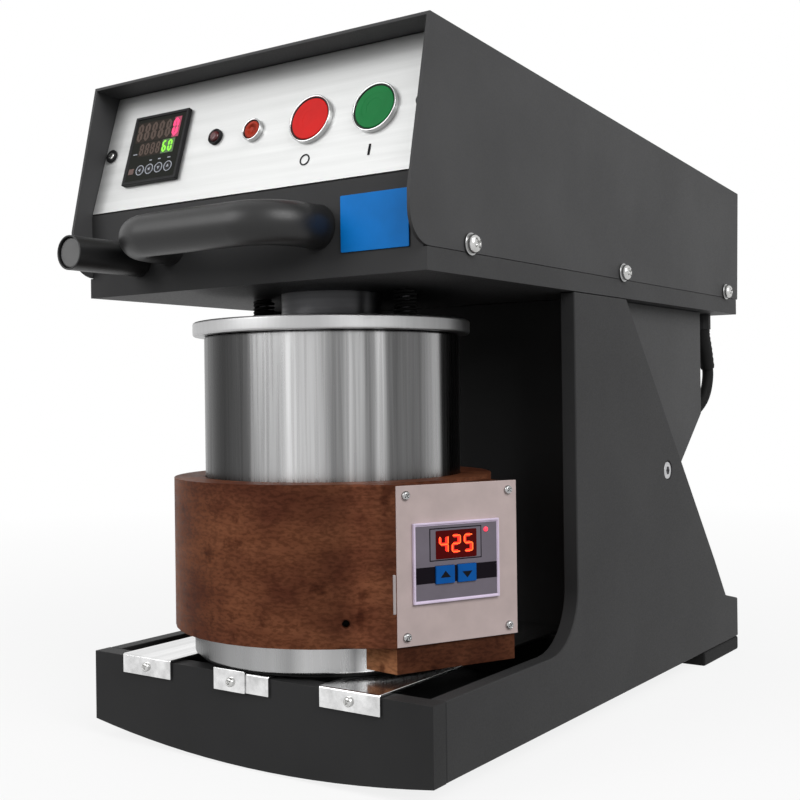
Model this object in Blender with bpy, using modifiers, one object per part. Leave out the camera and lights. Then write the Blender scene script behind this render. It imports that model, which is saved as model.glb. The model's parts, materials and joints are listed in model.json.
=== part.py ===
"""Pulp disintegrator: a stainless container in a heated collar, stirred by a belt-driven
propeller that hangs from a head tilting back over two side plates.

Metres, +Z up. The front of the machine faces -Y. Places below are measured from the middle
of the width, from the front face and from the lower edge of the side plates. One empty
carries them to the model's origin, on the bench below the middle of the machine.
"""
import math

import bmesh
import bpy
from mathutils import Matrix, Vector

# Driving sizes of the whole machine
BODY_WIDTH = 0.254
BASE_DEPTH = 0.456
BASE_HEIGHT = 0.0426
FOOT_HEIGHT = 0.011
VESSEL_Y = 0.083
PIVOT_Y = 0.312
PIVOT_Z = 0.144
HOOD_SHEET = 0.002
GAP = 0.0003
OVERRUN = 0.003
WELD = 0.000002
SMOOTH_ANGLE = math.radians(35)
STEEP_SHARE = 0.9

# Base
PLATE = 0.010
FRONT_THICK = 0.012
BOW_DROP = 0.010
BOW_STEPS = 16
COLUMN_FRONT = 0.165
COLUMN_TOP_REAR = 0.2425
COLUMN_FILLET = 0.036
FILLET_STEPS = 8
WAIST_BEHIND_PIVOT = 0.093
WAIST_Z = 0.068
LUG_BEHIND_WAIST = 0.024
LUG_Z = 0.037
LUG_END_Z = 0.031
DECK_Z = 0.003
DECK_THICK = 0.003
WEB_Y = 0.215
WEB_THICK = 0.004
LEDGE_REACH = 0.025
LEDGE_THICK = 0.003
COVER_THICK = 0.003
REAR_PLATE_THICK = 0.003
PLATE_SPARE = 0.0006
RAIL_WIDTH_SHARE = 0.15945
RAIL_THICK = 0.0015
RAIL_PITCH_SHARE = 0.30315
RAIL_SHIFT = -0.0023
RAIL_TAB = 0.0115
FOOT_FRONT_INSET = 0.042
FOOT_FRONT_Y = 0.075
FOOT_FRONT_DEPTH = 0.034
FOOT_REAR_DEPTH = 0.076

# Power inlet in the rear plate
INLET_WIDTH = 0.0274
INLET_HEIGHT = 0.0196
INLET_DEPTH = 0.026
INLET_FLANGE_WIDTH = 0.048
INLET_FLANGE_HEIGHT = 0.0235
INLET_FLANGE = 0.0025
INLET_WALL = 0.0025
SOCKET_DEPTH = 0.016
INLET_Z = 0.0165
INLET_INSET = 0.072

# Container, cup, heater and collar
CONTAINER_RADIUS = 0.079
CONTAINER_WALL = 0.003
CONTAINER_HEIGHT = 0.1879
BAFFLES = 4
BAFFLE_RADIUS = 0.003
BAFFLE_TURN = math.pi
BAFFLE_STEPS = 13
BAFFLE_FOOT = 0.032
BAFFLE_TOP = 0.038
CUP_WALL = 0.007
CUP_FLOOR = 0.003
CUP_CLEARANCE = 0.0005
PAD_THICK = 0.0015
PAD_WIDTH = 0.012
PAD_INSET = 0.003
BAND_THICK = 0.0015
COLLAR_WALL = 0.0094
COLLAR_LIFT = 0.0165
COLLAR_HEIGHT = 0.0895
COLLAR_LIP = 0.0027
COLLAR_HOLE_RADIUS = 0.0022
COLLAR_HOLE_ANGLE = math.radians(-48.6)
COLLAR_HOLE_LIFT = 0.0135
ROUND_SIDES = 48

# Control block on the collar, with its face turned away from the front
BLOCK_TURN = math.radians(64)
BLOCK_STANDOFF = 0.0093
BLOCK_LOW = 0.0045
BLOCK_HEIGHT = 0.1015
BLOCK_WIDTH = 0.077
BLOCK_DEPTH = 0.045
BLOCK_FLARE = math.radians(20)
FACE_SHIFT = 0.0243
FACE_WIDTH = 0.0785
FACE_HEIGHT = 0.0875
FACE_THICK = 0.002
FACE_LIFT = 0.0195
FRAME_SHIFT = -0.0018
FRAME_LIFT = 0.0009
FRAME_WIDTH = 0.0557
FRAME_HEIGHT = 0.0442
FRAME_PROUD = 0.0032
FRAME_RIM = 0.0024
FRAME_RECESS = 0.0006
FRAME_BODY_WIDTH = 0.0506
FRAME_BODY_HEIGHT = 0.0388
FRAME_BODY_DEPTH = 0.0075
POCKET_SPARE = 0.0008
DISPLAY_WIDTH = 0.0249
DISPLAY_HEIGHT = 0.016
DISPLAY_RECESS = 0.0008
DISPLAY_LIFT = 0.0093
KEY_WIDTH = 0.0114
KEY_HEIGHT = 0.0092
KEY_SPACING = 0.0138
KEY_MIDDLE = 0.0004
KEY_LIFT = -0.0074
KEY_DEPTH = 0.0050
KEY_PROUD = 0.0004
KEY_CLEARANCE = 0.0003
KEY_TRAVEL = 0.0006
FACE_SCREW_X = 0.0334
FACE_SCREW_Z = 0.0385

# Head: pan, hood and tilted panel
SPRING_ROOM = 0.0176
PAN_BEHIND_LEAD = 0.020
PAN_FLOOR = 0.003
PAN_STEP = 0.0122
PAN_UPSTAND = 0.032
PAN_WALL = 0.002
PAN_FRONT_HEIGHT = 0.0515
HOOD_LIP_Y = -0.0148
HOOD_LIP_Z = 0.040
HOOD_CORNER = 0.017
ROOF_FRONT_Y = 0.0056
ROOF_FRONT_Z = 0.1331
ROOF_OVERHANG = 0.0077
ROOF_REAR_Z = 0.1005
HOOD_BEHIND_PAN = 0.0034
PANEL_THICK = 0.002
PANEL_TILT = math.radians(17.1)
PANEL_SIDE_SPARE = 0.0005
PANEL_START = 0.0008

# Things on the panel, measured from its middle and its lower edge
COUNTER_X_SHARE = -0.30276
COUNTER_S = 0.0392
COUNTER_SIZE = 0.0462
COUNTER_PROUD = 0.003
COUNTER_BODY = 0.043
COUNTER_DEPTH = 0.060
COUNTER_RECESS_WIDTH = 0.0385
COUNTER_RECESS_HEIGHT = 0.027
COUNTER_RECESS_LIFT = 0.0065
COUNTER_RECESS = 0.0008
PILOT_X_SHARE = -0.11339
PILOT_S = 0.0400
PILOT_RADIUS = 0.0049
PILOT_SHANK = 0.0037
PILOT_PROUD = 0.0028
PILOT_SHOULDER_SHARE = 0.85
PILOT_RIM = 0.0009
PILOT_DEPTH = 0.014
RESET_X_SHARE = 0.00433
STOP_X_SHARE = 0.17362
START_X_SHARE = 0.34724
BUTTON_S = 0.0396
RESET_SHARE = 0.479
BEZEL_RADIUS = 0.0143
BEZEL_PROUD = 0.0030
BARREL_RADIUS = 0.0134
BARREL_WALL = 0.0006
BARREL_DEPTH = 0.0125
BARREL_FLOOR = 0.0015
CAP_CLEARANCE = 0.0004
CAP_DEPTH = 0.0042
CAP_PROUD = 0.0026
CAP_EDGE = 0.0012
CAP_FALL = 0.0004
STEM_RADIUS = 0.0028
STEM_CLEARANCE = 0.0004
STEM_REACH = 0.0165
BUTTON_SIDES = 20
PANEL_SCREW_INSET = 0.0085
PANEL_SCREW_S = 0.0398

# Grip in front of the pan
GRIP_RADIUS = 0.012
GRIP_REACH = 0.037
GRIP_Z = 0.028
GRIP_SPREAD_SHARE = 0.22047
GRIP_BEND = 0.023
STUB_RADIUS = 0.010
STUB_X_SHARE = -0.3248
STUB_Z = 0.0205
STUB_REACH = 0.054
STUB_WALL = 0.0012
STUB_BORE = 0.004
GRIP_STEPS = 8

# Spindle, lid and springs
SHAFT_RADIUS = 0.0085
FIT = 0.0003
PROPELLER_LIFT = 0.025
PROPELLER_RADIUS = 0.045
HUB_RADIUS = 0.014
HUB_HEIGHT = 0.016
BLADES = 3
BLADE_THICK = 0.002
BLADE_HEIGHT = 0.016
BLADE_PITCH = math.radians(30)
LID_OVERHANG = 0.007
LID_THICK = 0.0084
LID_EDGE = 0.0015
LID_HOLE = 0.012
SLEEVE_RADIUS = 0.0312
SLEEVE_WALL = 0.0025
SLEEVE_OVERLAP = 0.002
SLEEVE_CLEARANCE = 0.0005
STUD_X = 0.056
STUD_RADIUS = 0.003
STUD_CLEARANCE = 0.0006
STUD_TOP = 0.030
NUT_LIFT = 0.0028
NUT_RADIUS = 0.0058
NUT_HEIGHT = 0.005
NUT_SIDES = 6
SPRING_WIRE = 0.0006
SPRING_RADIUS = 0.0044
SPRING_CURLS = 6
CURL_POINTS = 9
HOUSING_RADIUS = 0.024
HOUSING_BORE = 0.0175
HOUSING_BELOW = 0.010
HOUSING_ABOVE = 0.048
FLANGE_RADIUS = 0.045
FLANGE_THICK = 0.0115
FLANGE_RECESS = 0.007
FLANGE_RECESS_SPARE = 0.0015
BEARING_HEIGHT = 0.010
BEARING_INSET = 0.003
PULLEY_RADIUS = 0.028
PULLEY_RIM = 0.0035
PULLEY_RIM_THICK = 0.002
PULLEY_WIDTH = 0.018
PULLEY_LIFT = 0.0115
BELT_THICK = 0.003
SHAFT_END = 0.006

# Motor and arms
MOTOR_BEHIND_PIVOT = 0.018
MOTOR_RADIUS = 0.055
MOTOR_LENGTH = 0.113
MOTOR_CHAMFER = 0.008
MOTOR_SHAFT_RADIUS = 0.007
MOTOR_BORE_LEFT = 0.020
MOTOR_HOLE_SPARE = 0.005
ARM_THICK = 0.0065
ARM_CLEARANCE = 0.001
ARM_FRONT_REACH = 0.044
ARM_REAR_REACH = 0.096
ARM_EYE = 0.032
ARM_SLANT = math.radians(40.4)
EYE_STEPS = 10
BOLT_HEAD_RADIUS = 0.0065
BOLT_HEAD = 0.006
BOLT_SHANK = 0.004
BUSH_RADIUS = 0.007
BOLT_END = 0.002

# Small screws
SCREW_SHANK = 0.0018
SCREW_LENGTH = 0.008
SCREW_CLEARANCE = 0.0003
FACE_SCREW_SHANK = 0.0012
FACE_SCREW_LENGTH = 0.006
SCREW_SIDES = 12
HOOD_SCREW_LIFT = 0.0170
hood_screw_shares = (0.09002, 0.5141, 0.94252)

# Lead from the head into the column
LEAD_RADIUS = 0.0045
LEAD_INSET = 0.023
LEAD_BEHIND_ARM = 0.033
LEAD_END_INSET = 0.036
LEAD_SWING = 0.020
LEAD_TOP_DROP = 0.0002
LEAD_END_DEPTH = 0.0061
GLAND_RADIUS = 0.0080
GLAND_LENGTH = 0.012
GLAND_SLACK = 0.0008
LEAD_STEP = 0.011
lead_route_shares = (
    (1, 0, 1), (1, 0, 0.9639), (1, 0.075, 0.9206), (1, 0.5, 0.8437), (1, 0.75, 0.7571),
    (0.78, 0.45, 0.6609), (-0.04, -0.25, 0.5695), (-0.62, -0.85, 0.4637), (-0.41, -0.95, 0.3434),
    (-0.15, -0.375, 0.2328), (0, 0.1, 0.151), (0, 0.05, 0.0885), (0, -0.33, 0.05), (0, -0.6, 0.0298),
    (0, -1, 0))

# Places that follow from the sizes above
HALF = BODY_WIDTH / 2
INSIDE = HALF - PLATE
rail_width = BODY_WIDTH * RAIL_WIDTH_SHARE
rail_pitch = BODY_WIDTH * RAIL_PITCH_SHARE
inlet_x = INLET_INSET - HALF
arm_rear_y = PIVOT_Y + ARM_REAR_REACH
lead_x = HALF - LEAD_INSET
lead_y = arm_rear_y + LEAD_BEHIND_ARM
pan_depth = lead_y + PAN_BEHIND_LEAD
roof_rear_y = pan_depth + ROOF_OVERHANG
motor_y = PIVOT_Y + MOTOR_BEHIND_PIVOT
waist_y = PIVOT_Y + WAIST_BEHIND_PIVOT
lug_y = waist_y + LUG_BEHIND_WAIST
grip_spread = BODY_WIDTH * GRIP_SPREAD_SHARE
stub_x = BODY_WIDTH * STUB_X_SHARE
lead_end_x = HALF - LEAD_END_INSET
cup_radius = CONTAINER_RADIUS + CUP_CLEARANCE + CUP_WALL
band_inside = cup_radius + GAP
band_outside = band_inside + BAND_THICK
collar_radius = band_outside + GAP + COLLAR_WALL
block_reach = collar_radius + BLOCK_STANDOFF
lid_radius = CONTAINER_RADIUS + LID_OVERHANG
rail_top = BASE_HEIGHT + GAP + RAIL_THICK
cup_low = rail_top + GAP + PAD_THICK + GAP
container_low = cup_low + CUP_FLOOR + GAP
container_top = container_low + CONTAINER_HEIGHT
lid_low = container_top + GAP
lid_top = lid_low + LID_THICK
head_low = lid_top + SPRING_ROOM
column_top = head_low - GAP
pan_top = head_low + PAN_FLOOR
seam_z = head_low + PAN_STEP
hood_rear_low_y = pan_depth + HOOD_BEHIND_PAN
panel_foot_z = head_low + PAN_FRONT_HEIGHT + GAP
collar_low = cup_low + COLLAR_LIFT
collar_top = collar_low + COLLAR_HEIGHT
cup_top = collar_top - COLLAR_LIP - GAP
pulley_low = head_low + HOUSING_ABOVE + PULLEY_LIFT
pulley_top = pulley_low + PULLEY_WIDTH
arm_outside = INSIDE - ARM_CLEARANCE
arm_inside = arm_outside - ARM_THICK
origin_place = Vector((0, (STUB_REACH - roof_rear_y) / 2, FOOT_HEIGHT))

SIDEWAYS = Matrix(((0, 0, 1), (1, 0, 0), (0, 1, 0)))
FRONTAL = Matrix(((1, 0, 0), (0, 0, -1), (0, 1, 0)))
UPRIGHT = Matrix.Identity(3)

for thing in list(bpy.data.objects):
    bpy.data.objects.remove(thing, do_unlink=True)
parts = bpy.data.collections.new("pulp_disintegrator")
cutters = bpy.data.collections.new("cutters")
bpy.context.scene.collection.children.link(parts)
bpy.context.scene.collection.children.link(cutters)


def carrier(name, place=(0, 0, 0), holder=None):
    """An empty that carries pieces; places stay measured in the machine's own frame."""
    empty = bpy.data.objects.new(name, None)
    cutters.objects.link(empty)
    empty.location = place
    if holder is None:
        empty.location = origin_place
    else:
        empty.parent = holder
        empty.matrix_parent_inverse = Matrix.Translation(-Vector(places[holder.name]))
    places[name] = Vector(place)
    return empty


places = {}
machine = carrier("machine_frame")
head = carrier("head_axis", (0, PIVOT_Y, PIVOT_Z), machine)
rotor = carrier("rotor_axis", (0, VESSEL_Y, head_low), head)
motor = carrier("motor_axis", (0, motor_y, head_low), head)
lid = carrier("lid_axis", (0, VESSEL_Y, lid_top), head)


def paint(name, colour, roughness, metallic=0):
    """A plain material of the piece's own."""
    finish = bpy.data.materials.new(name)
    finish.use_nodes = True
    shader = finish.node_tree.nodes["Principled BSDF"]
    shader.inputs["Base Color"].default_value = (*colour, 1)
    shader.inputs["Roughness"].default_value = roughness
    shader.inputs["Metallic"].default_value = metallic
    return finish


ANTHRACITE = ((0.055, 0.055, 0.056), 0.55)
STAINLESS = ((0.62, 0.62, 0.62), 0.3, 1)
BRIGHT = ((0.75, 0.75, 0.75), 0.2, 1)
STEEL = ((0.45, 0.45, 0.46), 0.4, 1)
PALE_ALLOY = ((0.70, 0.70, 0.69), 0.45, 1)
BROWN = ((0.12, 0.052, 0.030), 0.6)
BLACK = ((0.012, 0.012, 0.012), 0.6)
BRONZE = ((0.42, 0.24, 0.09), 0.4, 1)
PANEL_WHITE = ((0.74, 0.74, 0.72), 0.4)
PLATE_PINK = ((0.46, 0.37, 0.36), 0.45)
FRAME_LILAC = ((0.68, 0.58, 0.74), 0.4)
RED = ((0.67, 0.03, 0.03), 0.35)
GREEN = ((0.015, 0.23, 0.06), 0.35)
DARK_RED = ((0.25, 0.01, 0.01), 0.25)
BLUE = ((0.012, 0.10, 0.34), 0.4)


def place_thing(name, data, place=(0, 0, 0), turn=UPRIGHT, home=parts):
    """Link an object whose place is measured in the machine's own frame."""
    thing = bpy.data.objects.new(name, data)
    home.objects.link(thing)
    thing.parent = machine
    thing.matrix_basis = Matrix.Translation(Vector(place)) @ turn.to_4x4()
    return thing


def finish(thing, look, holder=machine):
    """Give a piece its material and hand it to the empty that carries it."""
    thing.data.materials.clear()
    thing.data.materials.append(paint(thing.name, *look))
    if thing.type == "MESH":
        thing.data.shade_smooth()
        thing.data.set_sharp_from_angle(angle=SMOOTH_ANGLE)
    thing.parent = holder
    thing.matrix_parent_inverse = Matrix.Translation(-places[holder.name])
    return thing


def as_mesh(thing):
    """Turn a curve or a modified mesh into one plain welded mesh."""
    bpy.context.view_layer.update()
    graph = bpy.context.evaluated_depsgraph_get()
    data = bpy.data.meshes.new_from_object(thing.evaluated_get(graph))
    shape = bmesh.new()
    shape.from_mesh(data)
    bmesh.ops.remove_doubles(shape, verts=shape.verts, dist=WELD)
    shape.to_mesh(data)
    shape.free()
    name, basis, home = thing.name, thing.matrix_basis.copy(), thing.users_collection[0]
    bpy.data.objects.remove(thing, do_unlink=True)
    solid = place_thing(name, data, home=home)
    solid.name = name
    solid.matrix_basis = basis
    return solid


def box(name, low, high, turn=UPRIGHT, origin=(0, 0, 0)):
    """A box between two corners, measured along the axes of turn from origin."""
    low, high = Vector(low), Vector(high)
    shape = bmesh.new()
    size = Matrix.Diagonal(high - low).to_4x4()
    bmesh.ops.create_cube(shape, size=1, matrix=size)
    data = bpy.data.meshes.new(name)
    shape.to_mesh(data)
    shape.free()
    return place_thing(name, data, Vector(origin) + turn @ ((low + high) / 2), turn)


def turned(name, profile, place=(0, 0, 0), turn=UPRIGHT, sides=ROUND_SIDES):
    """Turn a profile of radii and heights; its outer side runs from top to bottom."""
    shape = bmesh.new()
    corners = [shape.verts.new((radius, 0, height)) for radius, height in profile]
    pairs = list(zip(corners, corners[1:]))
    if profile[0][0] > 0:
        pairs.append((corners[-1], corners[0]))
    for pair in pairs:
        shape.edges.new(pair)
    data = bpy.data.meshes.new(name)
    shape.to_mesh(data)
    shape.free()
    thing = place_thing(name, data, place, turn)
    spin = thing.modifiers.new("spin", "SCREW")
    spin.steps = spin.render_steps = sides
    spin.use_merge_vertices = True
    spin.merge_threshold = WELD
    return thing


def ring(name, inner, outer, low, high, place=(0, 0, 0), turn=UPRIGHT, sides=ROUND_SIDES):
    """A plain turned ring."""
    profile = [(inner, high), (outer, high), (outer, low), (inner, low)]
    return turned(name, profile, place, turn, sides)


def rod(name, radius, low, high, place=(0, 0, 0), turn=UPRIGHT, sides=ROUND_SIDES):
    """A plain turned rod."""
    profile = [(0, high), (radius, high), (radius, low), (0, low)]
    return turned(name, profile, place, turn, sides)


def sheet(name, outlines, thickness, place=(0, 0, 0), turn=UPRIGHT):
    """A flat piece from closed outlines, centred on its plane."""
    data = bpy.data.curves.new(name, "CURVE")
    data.dimensions = "2D"
    data.fill_mode = "BOTH"
    data.extrude = thickness / 2
    for outline in outlines:
        spline = data.splines.new("POLY")
        spline.points.add(len(outline) - 1)
        for point, (across, up) in zip(spline.points, outline):
            point.co = (across, up, 0, 1)
        spline.use_cyclic_u = True
    return as_mesh(place_thing(name, data, place, turn))


def tube(name, points, radius, resolution=2):
    """A round bar along a line of points, with closed ends."""
    data = bpy.data.curves.new(name, "CURVE")
    data.dimensions = "3D"
    data.bevel_depth = radius
    data.bevel_resolution = resolution
    data.use_fill_caps = True
    spline = data.splines.new("POLY")
    spline.points.add(len(points) - 1)
    for point, where in zip(spline.points, points):
        point.co = (*where, 1)
    return as_mesh(place_thing(name, data))


def combine(thing, others, operation):
    """Join or cut a piece with others, which become hidden guides."""
    for other in others:
        change = thing.modifiers.new(other.name, "BOOLEAN")
        change.operation = operation
        change.object = other
        for home in list(other.users_collection):
            home.objects.unlink(other)
        cutters.objects.link(other)
        other.hide_render = True
        other.display_type = "WIRE"
    return thing


def cut(thing, *others):
    return combine(thing, others, "DIFFERENCE")


def fuse(thing, *others):
    return combine(thing, others, "UNION")


def arc(middle, radius, start, end, steps):
    """Points along an arc, both ends included."""
    angles = [start + (end - start) * step / steps for step in range(steps + 1)]
    return [(middle[0] + radius * math.cos(a), middle[1] + radius * math.sin(a)) for a in angles]


def bent_strip(line, thickness):
    """Outline of a strip of even thickness whose outer side follows a line."""
    points = [Vector(point) for point in line]
    sides = [(b - a).normalized() for a, b in zip(points, points[1:])]
    inner = []
    for index, point in enumerate(points):
        before = sides[max(index - 1, 0)]
        after = sides[min(index, len(sides) - 1)]
        inward = Vector((before.y + after.y, -before.x - after.x)).normalized()
        inner.append(point + inward * thickness / inward.dot(Vector((before.y, -before.x))))
    return line + [tuple(point) for point in reversed(inner)]


def facing(direction):
    """Axes with Z along a direction and Y as near upright as it can be."""
    out = Vector(direction).normalized()
    up = Vector((0, 0, 1)) if abs(out.z) < STEEP_SHARE else Vector((0, 1, 0))
    across = up.cross(out).normalized()
    return Matrix((across, out.cross(across), out)).transposed()


def smooth_route(points, step):
    """Points read from a smooth curve through a route."""
    ends = [Vector(points[0]) * 2 - Vector(points[1])]
    ends += [Vector(point) for point in points]
    ends += [Vector(points[-1]) * 2 - Vector(points[-2])]
    route = []
    for a, b, c, d in zip(ends, ends[1:], ends[2:], ends[3:]):
        count = max(1, round((c - b).length / step))
        for index in range(count):
            t = index / count
            pull = (c - a) * t + (2 * a - 5 * b + 4 * c - d) * t * t
            route.append(b + (pull + (3 * b - a - 3 * c + d) * t * t * t) / 2)
    route.append(ends[-2])
    return route


def screw_hole(name, place, direction, shank, length):
    """The clearance hole of a screw."""
    radius = shank + SCREW_CLEARANCE
    return rod(name, radius, -length - GAP, OVERRUN, place, facing(direction), SCREW_SIDES)


# Base plates
def side_outline():
    """Side plate with its foot, column and slanted back, seen from the side."""
    front = FRONT_THICK + GAP
    middle = (COLUMN_FRONT - COLUMN_FILLET, BASE_HEIGHT + COLUMN_FILLET)
    corners = [(front, 0), (BASE_DEPTH, 0), (BASE_DEPTH, LUG_END_Z), (lug_y, LUG_Z),
               (waist_y, WAIST_Z), (COLUMN_TOP_REAR, column_top), (COLUMN_FRONT, column_top)]
    return corners + arc(middle, COLUMN_FILLET, 0, -math.pi / 2, FILLET_STEPS) + [(front, BASE_HEIGHT)]


def make_base():
    bow_radius = (HALF ** 2 + BOW_DROP ** 2) / (2 * BOW_DROP)
    half_angle = math.asin(HALF / bow_radius)
    bow = arc((0, bow_radius - BOW_DROP), bow_radius, -math.pi / 2 - half_angle,
              -math.pi / 2 + half_angle, BOW_STEPS)
    outline = bow + [(HALF, BASE_HEIGHT), (-HALF, BASE_HEIGHT)]
    front = sheet("front_plate", [outline], FRONT_THICK, (0, FRONT_THICK / 2, 0), FRONTAL)
    rails = [RAIL_SHIFT + side * rail_pitch for side in (-1, 0, 1)]
    screw_z = rail_top - RAIL_TAB / 2
    for x in rails:
        cut(front, screw_hole("tab_hole", (x, 0, screw_z), (0, -1, 0), SCREW_SHANK, SCREW_LENGTH))
    finish(front, ANTHRACITE)

    for side, name in ((-1, "side_plate_left"), (1, "side_plate_right")):
        x = side * (HALF - PLATE / 2)
        plate = sheet(name, [side_outline()], PLATE, (x, 0, 0), SIDEWAYS)
        bore = rod(name + "_bore", BOLT_SHANK + FIT, -PLATE, PLATE,
                   (x, PIVOT_Y, PIVOT_Z), SIDEWAYS, BUTTON_SIDES)
        seat = rod(name + "_seat", BOLT_HEAD_RADIUS + FIT, -BOLT_HEAD - GAP, OVERRUN,
                   (side * HALF, PIVOT_Y, PIVOT_Z), facing((side, 0, 0)), BUTTON_SIDES)
        finish(cut(plate, bore, seat), ANTHRACITE)

    inside = INSIDE - GAP
    rear_plate_y = BASE_DEPTH - REAR_PLATE_THICK
    deck = box("deck_plate", (-inside, FRONT_THICK + GAP, DECK_Z),
               (inside, rear_plate_y - GAP, DECK_Z + DECK_THICK))
    finish(deck, ANTHRACITE)

    web_low = DECK_Z + DECK_THICK + GAP
    web = box("column_web", (-inside, WEB_Y, web_low), (inside, WEB_Y + WEB_THICK, column_top))
    ledge = box("web_ledge", (-inside, WEB_Y - LEDGE_REACH, BASE_HEIGHT - LEDGE_THICK),
                (inside, WEB_Y + WEB_THICK / 2, BASE_HEIGHT))
    finish(fuse(web, ledge), ANTHRACITE)

    slope = Vector((0, waist_y - lug_y, WAIST_Z - LUG_Z)).normalized()
    outward = Vector((0, slope.z, -slope.y))
    bend = [(waist_y, WAIST_Z), (lug_y, LUG_Z), (BASE_DEPTH, LUG_END_Z)]
    cover = sheet("rear_cover", [bent_strip(bend, COVER_THICK)], 2 * inside, (0, 0, 0), SIDEWAYS)
    gland_foot = Vector((lead_end_x, (lug_y + waist_y) / 2, (LUG_Z + WAIST_Z) / 2))
    neck = ring("lead_neck", LEAD_RADIUS + GLAND_SLACK, GLAND_RADIUS, -COVER_THICK / 2, GLAND_LENGTH,
                gland_foot, facing(outward), BUTTON_SIDES)
    finish(fuse(cover, neck), ANTHRACITE)

    plate = box("rear_plate", (-inside, rear_plate_y, DECK_Z),
                (inside, BASE_DEPTH, LUG_END_Z - COVER_THICK - PLATE_SPARE))
    spare = INLET_WIDTH / 2 + GAP
    rise = INLET_HEIGHT / 2 + GAP
    hole = box("inlet_hole", (inlet_x - spare, rear_plate_y - OVERRUN, INLET_Z - rise),
               (inlet_x + spare, BASE_DEPTH + OVERRUN, INLET_Z + rise))
    finish(cut(plate, hole), ANTHRACITE)
    flange = box("power_inlet",
                 (inlet_x - INLET_FLANGE_WIDTH / 2, BASE_DEPTH + GAP, INLET_Z - INLET_FLANGE_HEIGHT / 2),
                 (inlet_x + INLET_FLANGE_WIDTH / 2, BASE_DEPTH + GAP + INLET_FLANGE,
                  INLET_Z + INLET_FLANGE_HEIGHT / 2))
    body = box("inlet_body",
               (inlet_x - INLET_WIDTH / 2, BASE_DEPTH - INLET_DEPTH, INLET_Z - INLET_HEIGHT / 2),
               (inlet_x + INLET_WIDTH / 2, BASE_DEPTH + GAP + INLET_FLANGE / 2,
                INLET_Z + INLET_HEIGHT / 2))
    wide = INLET_WIDTH / 2 - INLET_WALL
    tall = INLET_HEIGHT / 2 - INLET_WALL
    socket = box("inlet_socket", (inlet_x - wide, BASE_DEPTH - SOCKET_DEPTH, INLET_Z - tall),
                 (inlet_x + wide, BASE_DEPTH + INLET_FLANGE + OVERRUN, INLET_Z + tall))
    finish(cut(fuse(flange, body), socket), BLACK)

    rail_end = WEB_Y - GAP
    for x, name in zip(rails, ("rail_left", "rail_middle", "rail_right")):
        left, right = x - rail_width / 2, x + rail_width / 2
        rail = box(name, (left, -GAP - RAIL_THICK, rail_top - RAIL_THICK), (right, rail_end, rail_top))
        tab = box(name + "_tab", (left, -GAP - RAIL_THICK, rail_top - RAIL_TAB),
                  (right, -GAP, rail_top - RAIL_THICK / 2))
        hole = screw_hole(name + "_hole", (x, -GAP - RAIL_THICK, screw_z), (0, -1, 0), SCREW_SHANK,
                          SCREW_LENGTH)
        finish(cut(fuse(rail, tab), hole), STAINLESS)

    half = FOOT_FRONT_DEPTH / 2
    front_foot = box("foot_front", (FOOT_FRONT_INSET - HALF, FOOT_FRONT_Y - half, -FOOT_HEIGHT),
                     (HALF - FOOT_FRONT_INSET, FOOT_FRONT_Y + half, DECK_Z - GAP))
    finish(front_foot, BLACK)
    rear_foot = box("foot_rear", (-HALF, BASE_DEPTH - FOOT_REAR_DEPTH, -FOOT_HEIGHT),
                    (HALF, BASE_DEPTH, -GAP))
    finish(rear_foot, BLACK)


# Container with its seat, heater and collar
def make_vessel():
    centre = (0, VESSEL_Y, 0)
    inner = CONTAINER_RADIUS - CONTAINER_WALL
    floor = container_low + CONTAINER_WALL
    profile = [(inner, container_top), (CONTAINER_RADIUS, container_top),
               (CONTAINER_RADIUS, container_low), (0, container_low), (0, floor), (inner, floor)]
    profile = profile[4:] + profile[:4]
    container = turned("container", profile, centre)

    reach = inner - BAFFLE_RADIUS / 2
    low = floor + BAFFLE_FOOT
    high = container_top - BAFFLE_TOP
    for index in range(BAFFLES):
        points = []
        for step in range(BAFFLE_STEPS):
            share = step / (BAFFLE_STEPS - 1)
            angle = 2 * math.pi * index / BAFFLES + BAFFLE_TURN * share
            points.append((reach * math.cos(angle), VESSEL_Y + reach * math.sin(angle),
                           low + (high - low) * share))
        fuse(container, tube("baffle", points, BAFFLE_RADIUS, 1))
    finish(container, STAINLESS)

    hold = CONTAINER_RADIUS + CUP_CLEARANCE
    seat = cup_low + CUP_FLOOR
    profile = [(0, seat), (hold, seat), (hold, cup_top), (cup_radius, cup_top), (cup_radius, cup_low),
               (0, cup_low)]
    finish(turned("cup", profile, centre), STAINLESS)
    outer = cup_radius - PAD_INSET
    finish(ring("cup_pad", outer - PAD_WIDTH, outer, cup_low - GAP - PAD_THICK, cup_low - GAP, centre),
           BLACK)
    finish(ring("heater_band", band_inside, band_outside, collar_low + PAD_INSET, cup_top, centre), STEEL)
    inside = band_outside + GAP
    profile = [(hold, collar_top), (collar_radius, collar_top), (collar_radius, collar_low),
               (inside, collar_low), (inside, cup_top + GAP), (hold, cup_top + GAP)]
    collar = turned("collar", profile, centre)
    away = Vector((math.cos(COLLAR_HOLE_ANGLE), math.sin(COLLAR_HOLE_ANGLE), 0))
    hole = rod("collar_hole", COLLAR_HOLE_RADIUS, band_outside, collar_radius + OVERRUN,
               Vector(centre) + Vector((0, 0, collar_low + COLLAR_HOLE_LIFT)), facing(away), SCREW_SIDES)
    finish(cut(collar, hole), BROWN)


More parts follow.
